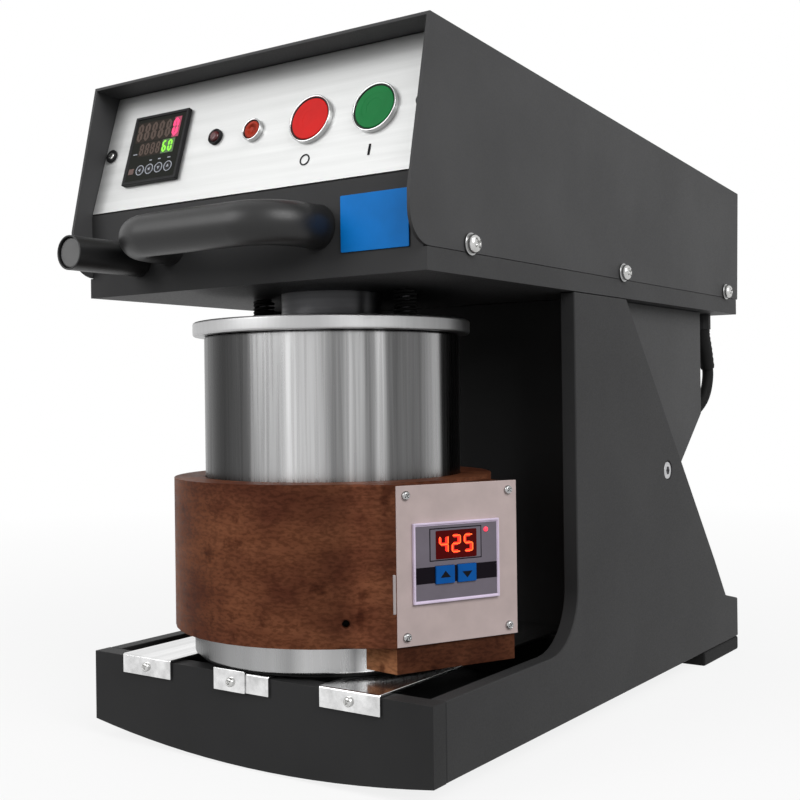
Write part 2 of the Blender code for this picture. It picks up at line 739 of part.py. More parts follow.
# Heater control on the collar
def make_control():
    across = Vector((math.cos(BLOCK_TURN), math.sin(BLOCK_TURN), 0))
    out = Vector((math.sin(BLOCK_TURN), -math.cos(BLOCK_TURN), 0))
    axes = Matrix((across, Vector((0, 0, 1)), out)).transposed()
    face_z = rail_top + FACE_LIFT + FACE_HEIGHT / 2
    middle = Vector((0, VESSEL_Y, face_z)) + out * block_reach + across * FACE_SHIFT
    back = -FACE_THICK - GAP
    block_low = rail_top + BLOCK_LOW - face_z
    half, rear = BLOCK_WIDTH / 2, back - BLOCK_DEPTH
    flare = BLOCK_DEPTH * math.tan(BLOCK_FLARE)
    outline = [(-half, back), (half, back), (half, rear), (-half - flare, rear)]
    plan = Matrix((across, out, Vector((0, 0, -1)))).transposed()
    height = Vector((0, 0, block_low + BLOCK_HEIGHT / 2))
    block = sheet("control_block", [outline], BLOCK_HEIGHT, middle + height, plan)
    bore = rod("collar_room", collar_radius + GAP, collar_low - GAP, head_low, (0, VESSEL_Y, 0))
    cup_room = rod("cup_room", cup_radius + GAP, 0, collar_low, (0, VESSEL_Y, 0))
    pocket_x = FRAME_BODY_WIDTH / 2 + GAP
    pocket_y = FRAME_BODY_HEIGHT / 2 + GAP
    seat = middle + axes @ Vector((FRAME_SHIFT, FRAME_LIFT, 0))
    pocket = box("block_pocket", (-pocket_x, -pocket_y, -FRAME_BODY_DEPTH - POCKET_SPARE),
                 (pocket_x, pocket_y, 0), axes, seat)
    plate = box("control_plate", (-FACE_WIDTH / 2, -FACE_HEIGHT / 2, -FACE_THICK),
                (FACE_WIDTH / 2, FACE_HEIGHT / 2, 0), axes, middle)
    window = box("plate_window", (-pocket_x, -pocket_y, -FACE_THICK - OVERRUN),
                 (pocket_x, pocket_y, OVERRUN), axes, seat)
    cut(block, bore, cup_room, pocket)
    cut(plate, window)
    for x in (-FACE_SCREW_X, FACE_SCREW_X):
        for y in (-FACE_SCREW_Z, FACE_SCREW_Z):
            place = middle + axes @ Vector((x, y, 0))
            cut(plate, screw_hole("plate_hole", place, out, FACE_SCREW_SHANK, FACE_SCREW_LENGTH))
            cut(block, screw_hole("block_hole", place, out, FACE_SCREW_SHANK, FACE_SCREW_LENGTH))
    finish(block, BROWN)
    finish(plate, PLATE_PINK)

    top = GAP + FRAME_PROUD
    face = top - FRAME_RECESS
    frame = box("controller_frame", (-FRAME_WIDTH / 2, -FRAME_HEIGHT / 2, GAP),
                (FRAME_WIDTH / 2, FRAME_HEIGHT / 2, top), axes, seat)
    body = box("controller_body", (-FRAME_BODY_WIDTH / 2, -FRAME_BODY_HEIGHT / 2, -FRAME_BODY_DEPTH),
               (FRAME_BODY_WIDTH / 2, FRAME_BODY_HEIGHT / 2, GAP + FRAME_PROUD / 2), axes, seat)
    wide = FRAME_WIDTH / 2 - FRAME_RIM
    tall = FRAME_HEIGHT / 2 - FRAME_RIM
    recess = box("frame_recess", (-wide, -tall, face), (wide, tall, top + OVERRUN), axes, seat)
    fuse(frame, body)
    cut(frame, recess)
    wide, tall = DISPLAY_WIDTH / 2, DISPLAY_HEIGHT / 2
    window = box("display_window", (-wide, DISPLAY_LIFT - tall, face - DISPLAY_RECESS),
                 (wide, DISPLAY_LIFT + tall, top + OVERRUN), axes, seat)
    cut(frame, window)
    wide, tall = KEY_WIDTH / 2, KEY_HEIGHT / 2
    key_top = face + KEY_PROUD
    for side, name in ((-1, "key_up"), (1, "key_down")):
        x = KEY_MIDDLE + side * KEY_SPACING / 2
        key = box(name, (x - wide, KEY_LIFT - tall, key_top - KEY_DEPTH),
                  (x + wide, KEY_LIFT + tall, key_top), axes, seat)
        slack = KEY_CLEARANCE
        room = box(name + "_room", (x - wide - slack, KEY_LIFT - tall - slack,
                                    key_top - KEY_DEPTH - KEY_TRAVEL - slack),
                   (x + wide + slack, KEY_LIFT + tall + slack, top + OVERRUN), axes, seat)
        cut(frame, room)
        axis = carrier(name + "_axis", seat + axes @ Vector((x, KEY_LIFT, key_top)), machine)
        finish(key, BLUE, axis)
    finish(frame, FRAME_LILAC)


# Head shell
def make_head_shell():
    inner = HALF - HOOD_SHEET - GAP
    pan = box("head_pan", (-HALF, 0, head_low), (HALF, pan_depth, seam_z))
    upstand = box("pan_upstand", (-inner, 0, head_low), (inner, pan_depth, head_low + PAN_UPSTAND))
    front = box("pan_front", (-inner, 0, head_low), (inner, PAN_WALL, head_low + PAN_FRONT_HEIGHT))
    hollow = box("pan_hollow", (PAN_WALL - inner, PAN_WALL, pan_top),
                 (inner - PAN_WALL, pan_depth - PAN_WALL, head_low + ROOF_FRONT_Z))
    fuse(pan, upstand, front)
    neck = rod("neck_hole", SLEEVE_RADIUS + SLEEVE_CLEARANCE, head_low - OVERRUN, pan_top + OVERRUN,
               (0, VESSEL_Y, 0))
    motor_hole = rod("motor_hole", MOTOR_SHAFT_RADIUS + MOTOR_HOLE_SPARE, head_low - OVERRUN,
                     pan_top + OVERRUN, (0, motor_y, 0), UPRIGHT, BUTTON_SIDES)
    lead_hole = rod("lead_hole", LEAD_RADIUS, head_low - OVERRUN, pan_top + OVERRUN,
                    (lead_x, lead_y, 0), UPRIGHT, SCREW_SIDES)
    cut(pan, hollow, neck, motor_hole, lead_hole)
    for x in (-STUD_X, STUD_X):
        cut(pan, rod("stud_hole", STUD_RADIUS + STUD_CLEARANCE, head_low - OVERRUN,
                     pan_top + OVERRUN, (x, VESSEL_Y, 0), UPRIGHT, SCREW_SIDES))

    low = seam_z + GAP
    corner = arc((HOOD_LIP_Y + HOOD_CORNER, low + HOOD_CORNER), HOOD_CORNER, -math.pi / 2, -math.pi,
                 FILLET_STEPS)
    outline = corner + [(HOOD_LIP_Y, head_low + HOOD_LIP_Z), (ROOF_FRONT_Y, head_low + ROOF_FRONT_Z),
                        (roof_rear_y, head_low + ROOF_REAR_Z), (hood_rear_low_y, low)]
    hood = sheet("hood_cover", [outline], BODY_WIDTH, (0, 0, 0), SIDEWAYS)
    slope = (ROOF_FRONT_Z - ROOF_REAR_Z) / (roof_rear_y - ROOF_FRONT_Y)
    front_y = HOOD_LIP_Y - OVERRUN
    rise = head_low + ROOF_FRONT_Z - HOOD_SHEET
    room = [(front_y, low - OVERRUN), (hood_rear_low_y - HOOD_SHEET, low - OVERRUN),
            (roof_rear_y - HOOD_SHEET, rise - slope * (roof_rear_y - HOOD_SHEET - ROOF_FRONT_Y)),
            (front_y, rise + slope * (ROOF_FRONT_Y - front_y))]
    cut(hood, sheet("hood_room", [room], BODY_WIDTH - 2 * HOOD_SHEET, (0, 0, 0), SIDEWAYS))

    for side in (-1, 1):
        for share in hood_screw_shares:
            place = Vector((side * HALF, pan_depth * share, head_low + HOOD_SCREW_LIFT))
            away = (side, 0, 0)
            cut(hood, screw_hole("hood_hole", place, away, SCREW_SHANK, SCREW_LENGTH))
            cut(pan, screw_hole("pan_hole", place, away, SCREW_SHANK, SCREW_LENGTH))
    finish(pan, ANTHRACITE, head)
    finish(hood, ANTHRACITE, head)


# Control panel and what stands on it
def make_panel():
    up = Vector((0, math.sin(PANEL_TILT), math.cos(PANEL_TILT)))
    out = Vector((0, -up.z, up.y))
    axes = Matrix((Vector((1, 0, 0)), up, out)).transposed()
    foot = Vector((0, 0, panel_foot_z))
    slope = (ROOF_FRONT_Z - ROOF_REAR_Z) / (roof_rear_y - ROOF_FRONT_Y)
    roof = head_low + ROOF_FRONT_Z + slope * ROOF_FRONT_Y - HOOD_SHEET - PANEL_SIDE_SPARE
    length = (roof - panel_foot_z) / (up.z + slope * up.y)
    half = HALF - HOOD_SHEET - PANEL_SIDE_SPARE
    panel = box("control_panel", (-half, PANEL_START, -PANEL_THICK), (half, length, 0), axes, foot)

    def on_panel(x, along):
        return foot + axes @ Vector((x, along, 0))

    for x in (PANEL_SCREW_INSET - HALF, HALF - PANEL_SCREW_INSET):
        place = on_panel(x, PANEL_SCREW_S)
        cut(panel, screw_hole("panel_hole", place, out, FACE_SCREW_SHANK, FACE_SCREW_LENGTH))

    place = on_panel(BODY_WIDTH * COUNTER_X_SHARE, COUNTER_S)
    half, body_half = COUNTER_SIZE / 2, COUNTER_BODY / 2
    counter = box("counter_body", (-half, -half, GAP), (half, half, GAP + COUNTER_PROUD), axes, place)
    body = box("counter_case", (-body_half, -body_half, -COUNTER_DEPTH),
               (body_half, body_half, GAP + COUNTER_PROUD / 2), axes, place)
    recess = box("counter_recess",
                 (-COUNTER_RECESS_WIDTH / 2, COUNTER_RECESS_LIFT - COUNTER_RECESS_HEIGHT / 2,
                  GAP + COUNTER_PROUD - COUNTER_RECESS),
                 (COUNTER_RECESS_WIDTH / 2, COUNTER_RECESS_LIFT + COUNTER_RECESS_HEIGHT / 2,
                  COUNTER_PROUD + OVERRUN), axes, place)
    finish(cut(fuse(counter, body), recess), BLACK, head)
    edge = body_half + GAP
    cut(panel, box("counter_hole", (-edge, -edge, -PANEL_THICK - OVERRUN), (edge, edge, OVERRUN),
                   axes, place))

    place = on_panel(BODY_WIDTH * PILOT_X_SHARE, PILOT_S)
    lamp = [(0, GAP + PILOT_PROUD), (PILOT_SHANK, GAP + PILOT_PROUD * PILOT_SHOULDER_SHARE),
            (PILOT_RADIUS, GAP + PILOT_RIM), (PILOT_RADIUS, GAP), (PILOT_SHANK, GAP),
            (PILOT_SHANK, -PILOT_DEPTH), (0, -PILOT_DEPTH)]
    finish(turned("pilot_lamp", lamp, place, axes, BUTTON_SIDES), DARK_RED, head)
    cut(panel, rod("pilot_hole", PILOT_SHANK + GAP, -PANEL_THICK - OVERRUN, OVERRUN, place, axes,
                   BUTTON_SIDES))

    for name, x_share, share, look in (("stop_button", STOP_X_SHARE, 1, RED),
                                       ("start_button", START_X_SHARE, 1, GREEN),
                                       ("reset_button", RESET_X_SHARE, RESET_SHARE, DARK_RED)):
        place = on_panel(BODY_WIDTH * x_share, BUTTON_S)
        barrel = BARREL_RADIUS * share
        bore = barrel - BARREL_WALL
        bezel = BEZEL_RADIUS * share
        stem = STEM_RADIUS * share
        guide = stem + STEM_CLEARANCE
        bottom = -BARREL_DEPTH
        profile = [(bore, BEZEL_PROUD), (bezel, BEZEL_PROUD - BARREL_WALL), (bezel, GAP), (barrel, GAP),
                   (barrel, bottom), (guide, bottom), (guide, bottom + BARREL_FLOOR),
                   (bore, bottom + BARREL_FLOOR)]
        finish(turned(name.replace("button", "bezel"), profile, place, axes, BUTTON_SIDES), BRIGHT, head)
        cap = bore - CAP_CLEARANCE
        crown = CAP_PROUD
        profile = [(0, crown), (cap - CAP_EDGE, crown - CAP_FALL), (cap, crown - CAP_EDGE),
                   (cap, -CAP_DEPTH), (stem, -CAP_DEPTH), (stem, -STEM_REACH), (0, -STEM_REACH)]
        button = turned(name, profile, place, axes, BUTTON_SIDES)
        finish(button, look, carrier(name + "_axis", place, head))
        cut(panel, rod(name + "_hole", barrel + GAP, -PANEL_THICK - OVERRUN, OVERRUN, place, axes,
                       BUTTON_SIDES))
    finish(panel, PANEL_WHITE, head)


# Grip in front of the pan
def make_grip():
    z = head_low + GRIP_Z
    middle = (grip_spread - GRIP_BEND, -GRIP_REACH + GRIP_BEND)
    bend = arc(middle, GRIP_BEND, -math.pi / 2, 0, GRIP_STEPS)
    right = bend + [(grip_spread, -GAP)]
    left = [(-x, y) for x, y in reversed(right)]
    points = [(x, y, z) for x, y in left + right]
    finish(tube("grip_bar", points, GRIP_RADIUS, 4), ANTHRACITE, head)
    inner = STUB_RADIUS - STUB_WALL
    profile = [(0, STUB_REACH - STUB_BORE), (inner, STUB_REACH - STUB_BORE), (inner, STUB_REACH),
               (STUB_RADIUS, STUB_REACH), (STUB_RADIUS, GAP), (0, GAP)]
    place = (stub_x, 0, head_low + STUB_Z)
    finish(turned("grip_stub", profile, place, facing((0, -1, 0)), BUTTON_SIDES), ANTHRACITE, head)


# Arms that carry the head on its pivots
def make_arms():
    eye = (PIVOT_Y, PIVOT_Z)
    start = -math.pi / 2 + ARM_SLANT
    tangent = (PIVOT_Y + ARM_EYE * math.cos(start), PIVOT_Z + ARM_EYE * math.sin(start))
    heel_rise = (arm_rear_y - tangent[0]) * math.tan(ARM_SLANT)
    outline = [(PIVOT_Y - ARM_FRONT_REACH, column_top), (PIVOT_Y - ARM_EYE, PIVOT_Z)]
    outline += arc(eye, ARM_EYE, math.pi, 2 * math.pi + start, EYE_STEPS)[1:]
    outline += [(arm_rear_y, tangent[1] + heel_rise), (arm_rear_y, column_top)]
    middle = (arm_inside + arm_outside) / 2
    for side, hand in ((-1, "left"), (1, "right")):
        name = "head_arm_" + hand
        arm = sheet(name, [outline], ARM_THICK, (side * middle, 0, 0), SIDEWAYS)
        bore = rod(name + "_bore", BUSH_RADIUS + GAP, -ARM_THICK, ARM_THICK,
                   (side * middle, PIVOT_Y, PIVOT_Z), SIDEWAYS, BUTTON_SIDES)
        finish(cut(arm, bore), ANTHRACITE, head)
        axes = facing((side, 0, 0))
        place = (0, PIVOT_Y, PIVOT_Z)
        bush = ring("pivot_bush_" + hand, BOLT_SHANK + FIT, BUSH_RADIUS, arm_inside, INSIDE - GAP,
                    place, axes, BUTTON_SIDES)
        finish(bush, BRONZE, head)
        head_in = HALF - BOLT_HEAD
        tip = arm_inside - BOLT_END
        profile = [(0, HALF - GAP), (BOLT_HEAD_RADIUS, HALF - GAP), (BOLT_HEAD_RADIUS, head_in),
                   (BOLT_SHANK, head_in), (BOLT_SHANK, tip), (0, tip)]
        finish(turned("pivot_bolt_" + hand, profile, place, axes, BUTTON_SIDES), STEEL)


# Spindle with its housing, propeller and pulley
def make_spindle():
    centre = (0, VESSEL_Y, 0)
    bore = HOUSING_BORE
    radius = HOUSING_RADIUS
    seat = pan_top + GAP
    top = head_low + HOUSING_ABOVE
    flange_top = seat + FLANGE_THICK
    recess = SLEEVE_RADIUS + FLANGE_RECESS_SPARE
    ceiling = seat + FLANGE_RECESS
    bottom = head_low - HOUSING_BELOW
    profile = [(bore, top), (radius, top), (radius, flange_top), (FLANGE_RADIUS, flange_top),
               (FLANGE_RADIUS, seat), (recess, seat), (recess, ceiling), (radius, ceiling),
               (radius, bottom), (bore, bottom)]
    finish(turned("spindle_housing", profile, centre, UPRIGHT, BUTTON_SIDES), STEEL, head)
    for low, name in ((bottom + BEARING_INSET, "bearing_lower"),
                      (top - BEARING_INSET - BEARING_HEIGHT, "bearing_upper")):
        finish(ring(name, SHAFT_RADIUS + FIT, bore - FIT, low, low + BEARING_HEIGHT, centre, UPRIGHT,
                    BUTTON_SIDES), BRIGHT, head)

    hub_low = container_low + CONTAINER_WALL + PROPELLER_LIFT
    finish(rod("spindle_shaft", SHAFT_RADIUS, hub_low, pulley_top + SHAFT_END, centre, UPRIGHT,
               BUTTON_SIDES), STAINLESS, rotor)
    hub = ring("propeller", SHAFT_RADIUS + FIT, HUB_RADIUS, hub_low, hub_low + HUB_HEIGHT, centre,
               UPRIGHT, BUTTON_SIDES)
    for index in range(BLADES):
        spin = Matrix.Rotation(2 * math.pi * index / BLADES, 3, "Z")
        pitch = Matrix.Rotation(BLADE_PITCH, 3, "X")
        root = (SHAFT_RADIUS + HUB_RADIUS) / 2
        blade = box("blade", (root, -BLADE_THICK / 2, -BLADE_HEIGHT / 2),
                    (PROPELLER_RADIUS, BLADE_THICK / 2, BLADE_HEIGHT / 2), spin @ pitch,
                    (0, VESSEL_Y, hub_low + HUB_HEIGHT / 2))
        fuse(hub, blade)
    finish(hub, STAINLESS, rotor)
    make_pulley("spindle_pulley", centre, SHAFT_RADIUS, rotor)


def make_pulley(name, centre, shaft, holder):
    """A flat-belt pulley with two rims."""
    rim = PULLEY_RADIUS + PULLEY_RIM
    low, high = pulley_low, pulley_top
    step = PULLEY_RIM_THICK
    profile = [(shaft + FIT, high), (rim, high), (rim, high - step), (PULLEY_RADIUS, high - step),
               (PULLEY_RADIUS, low + step), (rim, low + step), (rim, low), (shaft + FIT, low)]
    finish(turned(name, profile, centre, UPRIGHT, BUTTON_SIDES), PALE_ALLOY, holder)


def make_motor():
    centre = (0, motor_y, 0)
    top = head_low - GAP
    bottom = top - MOTOR_LENGTH
    shaft = MOTOR_SHAFT_RADIUS
    bore = shaft + FIT
    floor = bottom + MOTOR_BORE_LEFT
    profile = [(0, floor), (bore, floor), (bore, top), (MOTOR_RADIUS, top),
               (MOTOR_RADIUS, bottom + MOTOR_CHAMFER), (MOTOR_RADIUS - MOTOR_CHAMFER, bottom),
               (0, bottom)]
    finish(turned("motor_body", profile, centre, UPRIGHT, BUTTON_SIDES), ANTHRACITE, head)
    finish(rod("motor_shaft", shaft, floor + GAP, pulley_top + SHAFT_END, centre, UPRIGHT,
               BUTTON_SIDES), STEEL, motor)
    make_pulley("motor_pulley", centre, shaft, motor)

    low = pulley_low + PULLEY_RIM_THICK + GAP
    high = pulley_top - PULLEY_RIM_THICK - GAP
    loops = []
    for radius in (PULLEY_RADIUS + GAP + BELT_THICK, PULLEY_RADIUS + GAP):
        loop = arc((0, VESSEL_Y), radius, math.pi, 2 * math.pi, BOW_STEPS)
        loop += arc((0, motor_y), radius, 0, math.pi, BOW_STEPS)
        loops.append(loop)
    belt = sheet("drive_belt", loops, high - low, (0, 0, (low + high) / 2))
    finish(belt, BLACK, head)


# Floating lid with its sleeve, studs and springs
def make_lid():
    centre = (0, VESSEL_Y, 0)
    edge = LID_EDGE
    profile = [(LID_HOLE, lid_top), (lid_radius - edge, lid_top), (lid_radius, lid_top - edge),
               (lid_radius, lid_low + edge), (lid_radius - edge, lid_low), (LID_HOLE, lid_low)]
    finish(turned("lid_disc", profile, centre), PALE_ALLOY, lid)
    finish(ring("lid_sleeve", SLEEVE_RADIUS - SLEEVE_WALL, SLEEVE_RADIUS, lid_top + GAP,
                head_low + SLEEVE_OVERLAP, centre, UPRIGHT, BUTTON_SIDES), STEEL, lid)
    nut_low = pan_top + NUT_LIFT
    for x, name in ((-STUD_X, "lid_stud_left"), (STUD_X, "lid_stud_right")):
        place = (x, VESSEL_Y, 0)
        stud = rod(name, STUD_RADIUS, lid_top + GAP, pan_top + STUD_TOP, place, UPRIGHT, SCREW_SIDES)
        nut = rod(name + "_nut", NUT_RADIUS, nut_low, nut_low + NUT_HEIGHT, place, UPRIGHT, NUT_SIDES)
        finish(fuse(stud, nut), STEEL, lid)

    wire = SPRING_WIRE
    low = lid_top + GAP + wire
    high = head_low - GAP - wire
    least = None
    for x, name in ((-STUD_X, "lid_spring_left"), (STUD_X, "lid_spring_right")):
        count = SPRING_CURLS * CURL_POINTS
        points = []
        for step in range(count + 1):
            angle = 2 * math.pi * step / CURL_POINTS
            points.append(Vector((x + SPRING_RADIUS * math.cos(angle),
                                  VESSEL_Y + SPRING_RADIUS * math.sin(angle),
                                  low + (high - low) * step / count)))
        gaps = [(points[a] - points[b]).length - 2 * wire for a in range(count + 1)
                for b in range(a + CURL_POINTS // 2, count + 1)]
        least = min(gaps) if least is None else min(least, min(gaps))
        finish(tube(name, points, wire, 1), BRIGHT, head)
    print(f"lid springs: least gap to itself {least * 1000:.2f} mm")


# Lead from the head into the column
def make_lead():
    gland = ring("lead_gland_upper", LEAD_RADIUS + GLAND_SLACK, GLAND_RADIUS, column_top - GLAND_LENGTH,
                 column_top, (lead_x, lead_y, 0), UPRIGHT, BUTTON_SIDES)
    finish(gland, BLACK, head)
    low = LUG_Z + (WAIST_Z - LUG_Z) / 2 - COVER_THICK + LEAD_END_DEPTH
    high = column_top - LEAD_TOP_DROP
    route = []
    for aside, back, rise in lead_route_shares:
        route.append((lead_end_x + (lead_x - lead_end_x) * aside, lead_y + LEAD_SWING * back,
                      low + (high - low) * rise))
    finish(tube("head_lead", smooth_route(route, LEAD_STEP), LEAD_RADIUS, 2), BLACK)


make_base()
make_vessel()
make_control()
make_head_shell()
make_panel()
make_grip()
make_arms()
make_spindle()
make_motor()
make_lid()
make_lead()
bpy.context.view_layer.update()
print(f"{len(parts.objects)} pieces")
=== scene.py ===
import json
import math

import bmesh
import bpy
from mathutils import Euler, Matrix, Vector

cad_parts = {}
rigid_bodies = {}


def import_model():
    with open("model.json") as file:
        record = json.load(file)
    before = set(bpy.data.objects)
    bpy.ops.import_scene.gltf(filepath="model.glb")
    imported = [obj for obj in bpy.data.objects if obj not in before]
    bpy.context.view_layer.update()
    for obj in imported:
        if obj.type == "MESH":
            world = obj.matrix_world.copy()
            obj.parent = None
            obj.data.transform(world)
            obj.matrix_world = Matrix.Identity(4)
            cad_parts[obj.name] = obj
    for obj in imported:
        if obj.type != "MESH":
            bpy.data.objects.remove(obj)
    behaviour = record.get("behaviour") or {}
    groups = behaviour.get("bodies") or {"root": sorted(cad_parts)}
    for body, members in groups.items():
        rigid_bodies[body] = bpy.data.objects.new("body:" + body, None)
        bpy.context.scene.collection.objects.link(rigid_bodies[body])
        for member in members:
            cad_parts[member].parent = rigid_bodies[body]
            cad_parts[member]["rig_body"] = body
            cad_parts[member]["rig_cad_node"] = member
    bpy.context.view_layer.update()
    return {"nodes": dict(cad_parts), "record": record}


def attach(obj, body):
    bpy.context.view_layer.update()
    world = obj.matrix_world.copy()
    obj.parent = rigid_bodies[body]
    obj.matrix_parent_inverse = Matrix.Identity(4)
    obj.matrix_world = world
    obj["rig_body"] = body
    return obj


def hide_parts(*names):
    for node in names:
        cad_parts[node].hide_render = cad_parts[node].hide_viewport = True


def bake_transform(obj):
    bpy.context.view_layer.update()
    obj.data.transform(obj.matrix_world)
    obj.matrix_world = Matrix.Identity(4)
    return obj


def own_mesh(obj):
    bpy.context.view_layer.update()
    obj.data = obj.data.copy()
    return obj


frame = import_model()

# %% [markdown]
# # A bench pulp disintegrator
#
# The machine stirs wet pulp in a stainless container. A head on two side plates carries the
# motor, the belt and the propeller, and tilts back so that the container can be lifted out.
# The frame that was just loaded holds every solid at its real size. This lesson gives the
# solids their finish, rounds their edges, and adds the small things that they lack: screws,
# displays, marks and keys. All places are in metres, with the bench at height zero.

body_of = {node: body for body, nodes in frame["record"]["behaviour"]["bodies"].items() for node in nodes}
print(f"{len(body_of)} solids on {len(set(body_of.values()))} bodies")

# %% [markdown]
# ## Camera
#
# The picture to match was taken from the right of the front, level with the middle of the
# machine. A level camera keeps upright edges upright. The lens comes from how fast the long
# side of the head narrows, and a very small roll follows the horizon.

# %% Camera
VIEW_PLACE = (0.4583, -0.70785, 0.2112)
VIEW_TURN = math.radians(34.9)
VIEW_ROLL = 0.0127
camera_data = bpy.data.cameras.new("camera")
camera = bpy.data.objects.new("camera", camera_data)
bpy.context.scene.collection.objects.link(camera)
camera.location = VIEW_PLACE
camera.rotation_euler = (math.radians(90), VIEW_ROLL, VIEW_TURN)
camera_data.lens = 53.3
camera_data.sensor_width = 36
camera_data.shift_y = -0.005
camera_data.clip_start = 0.01
bpy.context.scene.camera = camera
print("lens", camera_data.lens, "mm")

# %% [markdown]
# ## Hand tools for modelling
#
# Operators act on whatever is selected, so each step starts with nothing selected. Faces and
# edges are then picked by where they are and which way they face, as one would with a mouse.
# The two picks that come up most have a name of their own: the faces that look up, and the
# edges that stand upright.

# %% Picking
NEARLY_STRAIGHT = 0.9


def rest():
    """Leave edit mode and let go of everything."""
    if bpy.context.object and bpy.context.object.mode != "OBJECT":
        bpy.ops.object.mode_set(mode="OBJECT")
    bpy.ops.object.select_all(action="DESELECT")


def hold(piece):
    """Take one piece in hand."""
    rest()
    piece.select_set(True)
    bpy.context.view_layer.objects.active = piece
    return piece


def edit(piece):
    """Open a piece in edit mode, with all of it selected."""
    hold(piece)
    bpy.ops.object.mode_set(mode="EDIT")
    bpy.ops.mesh.select_all(action="SELECT")


def pick(test, kind="FACE"):
    """In edit mode, select the faces or edges that pass a test of place and direction."""
    bpy.ops.mesh.select_mode(type=kind)
    bpy.ops.mesh.select_all(action="DESELECT")
    data = bpy.context.object.data
    mesh = bmesh.from_edit_mesh(data)
    if kind == "FACE":
        found = [face for face in mesh.faces if test(face.calc_center_median(), face.normal)]
    else:
        ends = [(edge, edge.verts[0].co, edge.verts[1].co) for edge in mesh.edges]
        found = [edge for edge, a, b in ends if test((a + b) / 2, (b - a).normalized())]
    for part in found:
        part.select_set(True)
    bmesh.update_edit_mesh(data)
    return len(found)


def is_top(middle, normal):
    """A face that looks up."""
    return normal.z > NEARLY_STRAIGHT


def is_upright(middle, along):
    """An edge that stands upright, or a face that looks up or down."""
    return abs(along.z) > NEARLY_STRAIGHT


# %% [markdown]
# A new primitive is the start of nearly every piece. Its place and size are written into its
# mesh at once, and it gets a name, because the next operator works on whatever comes last.

# %% Blocks and drums
def named(name):
    """Name the piece in hand, and its mesh with it."""
    piece = bpy.context.object
    piece.name = piece.data.name = name
    return piece


def block(name, low, high):
    """A cube drawn out between two corners."""
    rest()
    low, high = Vector(low), Vector(high)
    bpy.ops.mesh.primitive_cube_add(size=1, location=(low + high) / 2, scale=high - low)
    bpy.ops.object.transform_apply(location=True, rotation=True, scale=True)
    return named(name)


def drum(name, radius, low, high, centre=(0, 0), sides=64):
    """A closed upright cylinder."""
    rest()
    bpy.ops.mesh.primitive_cylinder_add(vertices=sides, radius=radius, depth=high - low,
                                        location=(*centre, (low + high) / 2))
    bpy.ops.object.transform_apply(location=True, rotation=True, scale=True)
    return named(name)


# %% [markdown]
# Turned and pressed pieces are shaped by a few strokes that come back all the time: push the
# middle of a face in, go right through with a hole, round the rim, or cut another shape out.
# Edges are rounded last, and the shading then keeps broad faces flat and real corners sharp.

# %% Strokes
SMOOTH_TO = 35
SAME_HEIGHT = 0.00002


def sink(thickness, depth):
    """Inset the picked faces, then push the middle in (negative) or out along its normal."""
    bpy.ops.mesh.inset(thickness=thickness)
    if depth:
        bpy.ops.mesh.extrude_region_shrink_fatten(TRANSFORM_OT_shrink_fatten={"value": depth})


def hollow(piece, wall, depth):
    """Inset the top by a wall, and push the middle down by a depth."""
    edit(piece)
    pick(is_top)
    sink(wall, -depth)
    return piece


def pierce(piece, thickness):
    """Inset both ends of an upright piece and join the two middles into a hole."""
    edit(piece)
    pick(is_upright)
    bpy.ops.mesh.inset(thickness=thickness)
    bpy.ops.mesh.bridge_edge_loops()
    bpy.ops.object.mode_set(mode="OBJECT")
    return piece


def carve(piece, cutter):
    """Cut the shape of one piece out of another, and put the cutter away."""
    hold(piece)
    cut = piece.modifiers.new("cut", "BOOLEAN")
    cut.solver = "EXACT"
    cut.object = cutter
    bpy.ops.object.modifier_apply(modifier="cut")
    bpy.data.objects.remove(cutter)
    return piece


def smooth(piece, angle=SMOOTH_TO):
    """Smooth shading that leaves real corners sharp and broad flats flat."""
    hold(piece)
    bpy.ops.object.shade_smooth_by_angle(angle=math.radians(angle))
    flats = piece.modifiers.new("flats", "WEIGHTED_NORMAL")
    flats.keep_sharp = True
    bpy.ops.object.modifier_apply(modifier="flats")
    return piece


def round_edges(piece, width, segments=3, angle=SMOOTH_TO):
    """Round every edge sharper than the angle, and keep the flats flat."""
    hold(piece)
    edges = piece.modifiers.new("edges", "BEVEL")
    edges.width = width
    edges.segments = segments
    edges.limit_method = "ANGLE"
    edges.angle_limit = math.radians(angle)
    bpy.ops.object.modifier_apply(modifier="edges")
    return smooth(piece)


def bevel(piece, test, width, segments):
    """Bevel only the edges that pass a test."""
    edit(piece)
    pick(test, "EDGE")
    bpy.ops.mesh.bevel(offset=width, segments=segments, affect="EDGES")
    bpy.ops.object.mode_set(mode="OBJECT")
    return piece


def crown(piece, height, width, segments=6):
    """Round only the edges that lie at one height, such as the rim of a button."""
    return smooth(bevel(piece, lambda middle, along: abs(middle.z - height) < SAME_HEIGHT, width, segments))


# %% [markdown]
# A finished piece has its object at the origin, unturned, with its place in its mesh. `settle`
# does that, `again` makes a further copy with a mesh of its own, and `fit` hands a piece over:
# it gets its finish, the body that it moves with, and the solids it stands for.

# %% Placing and handing over
def settle(piece, place=(0, 0, 0), turn=(0, 0, 0)):
    """Turn and move a piece, and write that into its mesh."""
    hold(piece)
    piece.rotation_euler = turn
    piece.location = place
    bpy.ops.object.transform_apply(location=True, rotation=True, scale=True)
    return piece


def again(piece, name, place=(0, 0, 0), turn=(0, 0, 0)):
    """Another of the same piece, with its own mesh."""
    hold(piece)
    bpy.ops.object.duplicate()
    return settle(named(name), place, turn)


def put_away(*pieces):
    """Remove the masters that copies were made from."""
    for piece in pieces:
        bpy.data.objects.remove(piece)


def spot(face, across, up):
    """The place and turn of something on a face, from that face's own measures."""
    place, turn = face
    return Vector(place) + Euler(turn).to_matrix() @ Vector((across, up, 0)), turn


